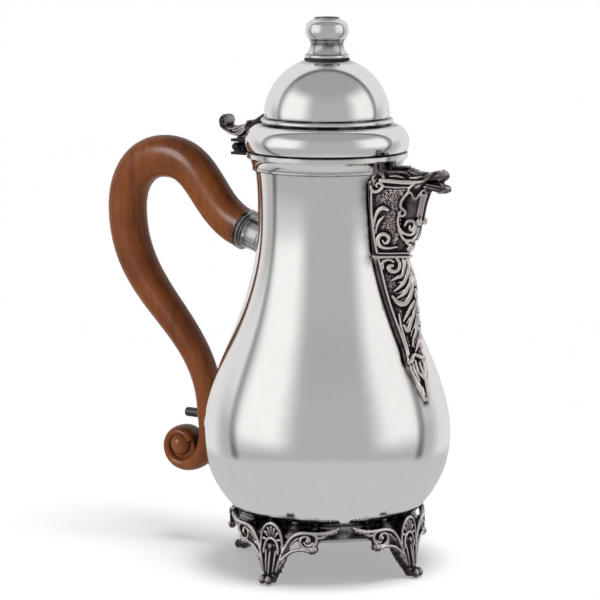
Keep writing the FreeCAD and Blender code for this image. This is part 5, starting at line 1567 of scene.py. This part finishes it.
class POT_OT_stage(bpy.types.Operator):
    """Pale floor, studio light and camera"""
    bl_idname = "pot.stage"
    bl_label = "Stage"

    floor_radius = 9000.0
    floor_z = -0.4
    # depth and width of the mirrored table, as shares of its size
    table_shape = (0.76, 0.94, 1.0)

    # parts of the room in degrees: where each one starts, is full, begins to fade and ends
    left_panel = (-104, -84, -54, -24)
    right_panel = (34, 64, 88, 106)
    panel_foot = (-15, 3)
    panel_top = (29, 51)
    wall_seam = (91, 97, 99, 105)
    wall_foot = (94, 104, 110, 134)
    seen_white = 0.975

    def execute(self, context):
        settings = context.scene.pot_stage
        floor = self.floor(settings)
        self.studio(settings)
        dull = [bpy.data.objects[name] for name in ("handle_scroll", "black_peg", "finial_leather")]
        self.lamp("key_lamp", energy=1.75, spread=24, way=(-0.18, 0.06, -1.0), takers=[floor])
        self.lamp("side_lamp", energy=1.7, spread=26, way=self.from_left(settings), takers=dull)
        self.camera(settings)
        context.scene.view_settings.view_transform = "Standard"
        return {"FINISHED"}

    def floor(self, settings):
        """Pale table that takes the shadow; in the silver it ends a short way from the pot."""
        corners, faces = turned([(self.floor_radius, self.floor_z), (0.0, self.floor_z)], 64)
        recipe = Recipe("pale_floor")
        tint = recipe.ramp(recipe.noise(recipe.place(), 3.0, 4.0), [
            (0.3, [0.985 * v for v in settings.floor]), (0.7, settings.floor)])
        recipe.feed(Base_Color=tint, Roughness=0.9, Specular_IOR_Level=0.0)
        glow = recipe.node("Emission", Color=(1, 1, 1, 1), Strength=settings.floor_glow)
        lit = recipe.joined("AddShader", recipe.shader.outputs[0], glow.outputs[0])
        spot = recipe.node("NewGeometry").outputs["Position"]
        turned_to_front = recipe.node(
            "Mapping", {"vector_type": "TEXTURE"}, Vector=spot, Rotation=(0, 0, settings.turn),
            Scale=self.table_shape)
        far = recipe.node("VectorMath", {"operation": "LENGTH"}, Vector=turned_to_front.outputs[0])
        past = recipe.spread(far.outputs["Value"], settings.table - 0.02, settings.table + 0.04, 0.0, 1.0)
        table = recipe.node("Emission", Color=(1, 1, 1, 1), Strength=settings.table_glow)
        clear = recipe.node("BsdfTransparent")
        mirrored = recipe.joined("MixShader", past, table.outputs[0], clear.outputs[0])
        rays = recipe.node("LightPath").outputs
        seen = recipe.joined("MixShader", rays["Is Glossy Ray"], lit, mirrored)
        feed_socket(recipe.tree, recipe.tree.nodes["Material Output"].inputs["Surface"], seen)
        floor = shown("floor", mesh_of("floor", corners, faces), recipe.finish)
        return floor

    def studio(self, settings):
        """Room light by direction: pale backdrop behind the pot, grey room with two light panels before."""
        world = bpy.context.scene.world or bpy.data.worlds.new("studio")
        bpy.context.scene.world = world
        world.use_nodes = True
        tree = world.node_tree
        tree.nodes.clear()

        def node(kind, settings=None, inputs=()):
            return add_node(tree, kind, settings, inputs)

        def sum_of(operation, a, b=0.0):
            return node("Math", {"operation": operation}, ((0, a), (1, b))).outputs[0]

        def ease(value, low, high, start=0.0, end=1.0):
            made = node("MapRange", {"interpolation_type": "SMOOTHSTEP"}, (
                ("Value", value), ("From Min", low), ("From Max", high), ("To Min", start), ("To Max", end)))
            return made.outputs["Result"]

        def blend(amount, first, second):
            made = node("Mix", None, ((0, amount), (2, first), (3, second)))
            return made.outputs[0]

        def window(value, rise_from, rise_to, fall_from, fall_to):
            return sum_of(
                "MULTIPLY", ease(value, rise_from, rise_to), ease(value, fall_from, fall_to, 1.0, 0.0))

        degrees = 180 / math.pi
        way = node("SeparateXYZ", None, ((0, node("TexCoord").outputs["Generated"]),))
        x, y, z = (way.outputs[k] for k in range(3))
        c, s = math.cos(settings.turn), math.sin(settings.turn)
        front = sum_of("SUBTRACT", sum_of("MULTIPLY", x, s), sum_of("MULTIPLY", y, c))
        right = sum_of("ADD", sum_of("MULTIPLY", x, c), sum_of("MULTIPLY", y, s))
        turn = sum_of("MULTIPLY", sum_of("ARCTAN2", right, front), degrees)
        rise = sum_of("MULTIPLY", sum_of("ARCSINE", z), degrees)
        level_front = sum_of("ADD", sum_of("MULTIPLY", front, math.cos(settings.tilt)),
                             sum_of("MULTIPLY", z, math.sin(settings.tilt)))
        away = sum_of("MULTIPLY", sum_of("ARCCOSINE", level_front), degrees)
        panel_height = sum_of(
            "MULTIPLY", ease(rise, *self.panel_top, 1.0, 0.0), ease(rise, *self.panel_foot, 0.0, 1.0))
        left_panel = sum_of("MULTIPLY", window(turn, *self.left_panel), panel_height)
        right_panel = sum_of("MULTIPLY", window(turn, *self.right_panel), panel_height)
        room = ease(rise, 20, 58, settings.room, settings.room * 0.82)
        before = blend(left_panel, room, settings.panel)
        before = blend(right_panel, before, settings.panel * 0.95)
        behind = ease(away, 99, 106)
        rear = ease(away, 150, 178, settings.backdrop, settings.backdrop * 0.85)
        level = blend(behind, before, rear)
        seam = window(away, *self.wall_seam)
        foot = sum_of("MULTIPLY", window(away, *self.wall_foot), ease(rise, -3, 16, 1.0, 0.0))
        depth = blend(ease(rise, 34, 58), ease(right, -0.3, 0.3, 0.3, 0.5), 0.62)
        depth = blend(ease(rise, -16, 4, 1.0, 0.0), depth, 0.62)
        level = sum_of("MULTIPLY", level, sum_of("SUBTRACT", 1.0, sum_of("MULTIPLY", seam, depth)))
        level = sum_of("MULTIPLY", level, sum_of("SUBTRACT", 1.0, sum_of("MULTIPLY", foot, 0.38)))
        rays = node("LightPath").outputs
        level = blend(rays["Is Diffuse Ray"], level, settings.ambient)
        level = blend(rays["Is Camera Ray"], level, self.seen_white)
        background = node("Background", None, (("Color", level), ("Strength", 1.0)))
        node("OutputWorld", None, (("Surface", background.outputs[0]),))

    def lamp(self, name, energy, spread, way, takers):
        """Broad lamp that lights only the given pieces, so that the silver doesn't mirror it."""
        data = bpy.data.lights.new(name, "SUN")
        data.energy = energy
        data.angle = math.radians(spread)
        lamp = bpy.data.objects.new(name, data)
        bpy.context.scene.collection.objects.link(lamp)
        lamp.rotation_euler = Vector(way).to_track_quat("-Z", "Y").to_euler()
        group = bpy.data.collections.new(name + "_takers")
        for piece in takers:
            group.objects.link(piece)
        lamp.light_linking.receiver_collection = group

    def from_left(self, settings):
        """Way of the light that comes over the camera's left shoulder."""
        angle = settings.turn - math.radians(62)
        return (-math.sin(angle), math.cos(angle), -0.36)

    def camera(self, settings):
        data = bpy.data.cameras.new("camera")
        data.sensor_width = 36.0
        data.lens = 165.36
        data.shift_x = -0.045
        camera = bpy.data.objects.new("camera", data)
        bpy.context.scene.collection.objects.link(camera)
        camera.location = (
            settings.distance * math.sin(settings.turn), -settings.distance * math.cos(settings.turn),
            settings.height)
        camera.rotation_euler = (math.pi / 2 - settings.tilt, 0.0, settings.turn)
        bpy.context.scene.camera = camera


PIECES = (
    POT_OT_body, POT_OT_rim, POT_OT_lid, POT_OT_finial, POT_OT_hinge, POT_OT_thumbpiece, POT_OT_spout,
    POT_OT_drop, POT_OT_feet, POT_OT_handle, POT_OT_stage)


class POT_PT_panel(bpy.types.Panel):
    """Lists the pieces of the coffee pot"""
    bl_idname = "POT_PT_panel"
    bl_label = "Coffee Pot"
    bl_space_type = "VIEW_3D"
    bl_region_type = "UI"
    bl_category = "Coffee Pot"

    def draw(self, context):
        column = self.layout.column()
        for piece in PIECES:
            column.operator(piece.bl_idname)


GROUPS = (
    ("pot_body", BodySizes), ("pot_lid", LidSizes), ("pot_castings", CastingSizes),
    ("pot_handle", HandleSizes), ("pot_finishes", FinishColours), ("pot_stage", StageSettings))


def register():
    for name, group in GROUPS:
        bpy.utils.register_class(group)
        setattr(bpy.types.Scene, name, PointerProperty(type=group))
    for piece in PIECES:
        bpy.utils.register_class(piece)
    bpy.utils.register_class(POT_PT_panel)


def unregister():
    bpy.utils.unregister_class(POT_PT_panel)
    for piece in reversed(PIECES):
        bpy.utils.unregister_class(piece)
    for name, group in reversed(GROUPS):
        delattr(bpy.types.Scene, name)
        bpy.utils.unregister_class(group)


def main():
    register()
    bpy.ops.pot.body()
    bpy.ops.pot.rim()
    bpy.ops.pot.lid()
    bpy.ops.pot.finial()
    bpy.ops.pot.hinge()
    bpy.ops.pot.thumbpiece()
    bpy.ops.pot.spout()
    bpy.ops.pot.drop()
    bpy.ops.pot.feet()
    bpy.ops.pot.handle()
    bpy.ops.pot.stage()


if __name__ == "__main__":
    main()
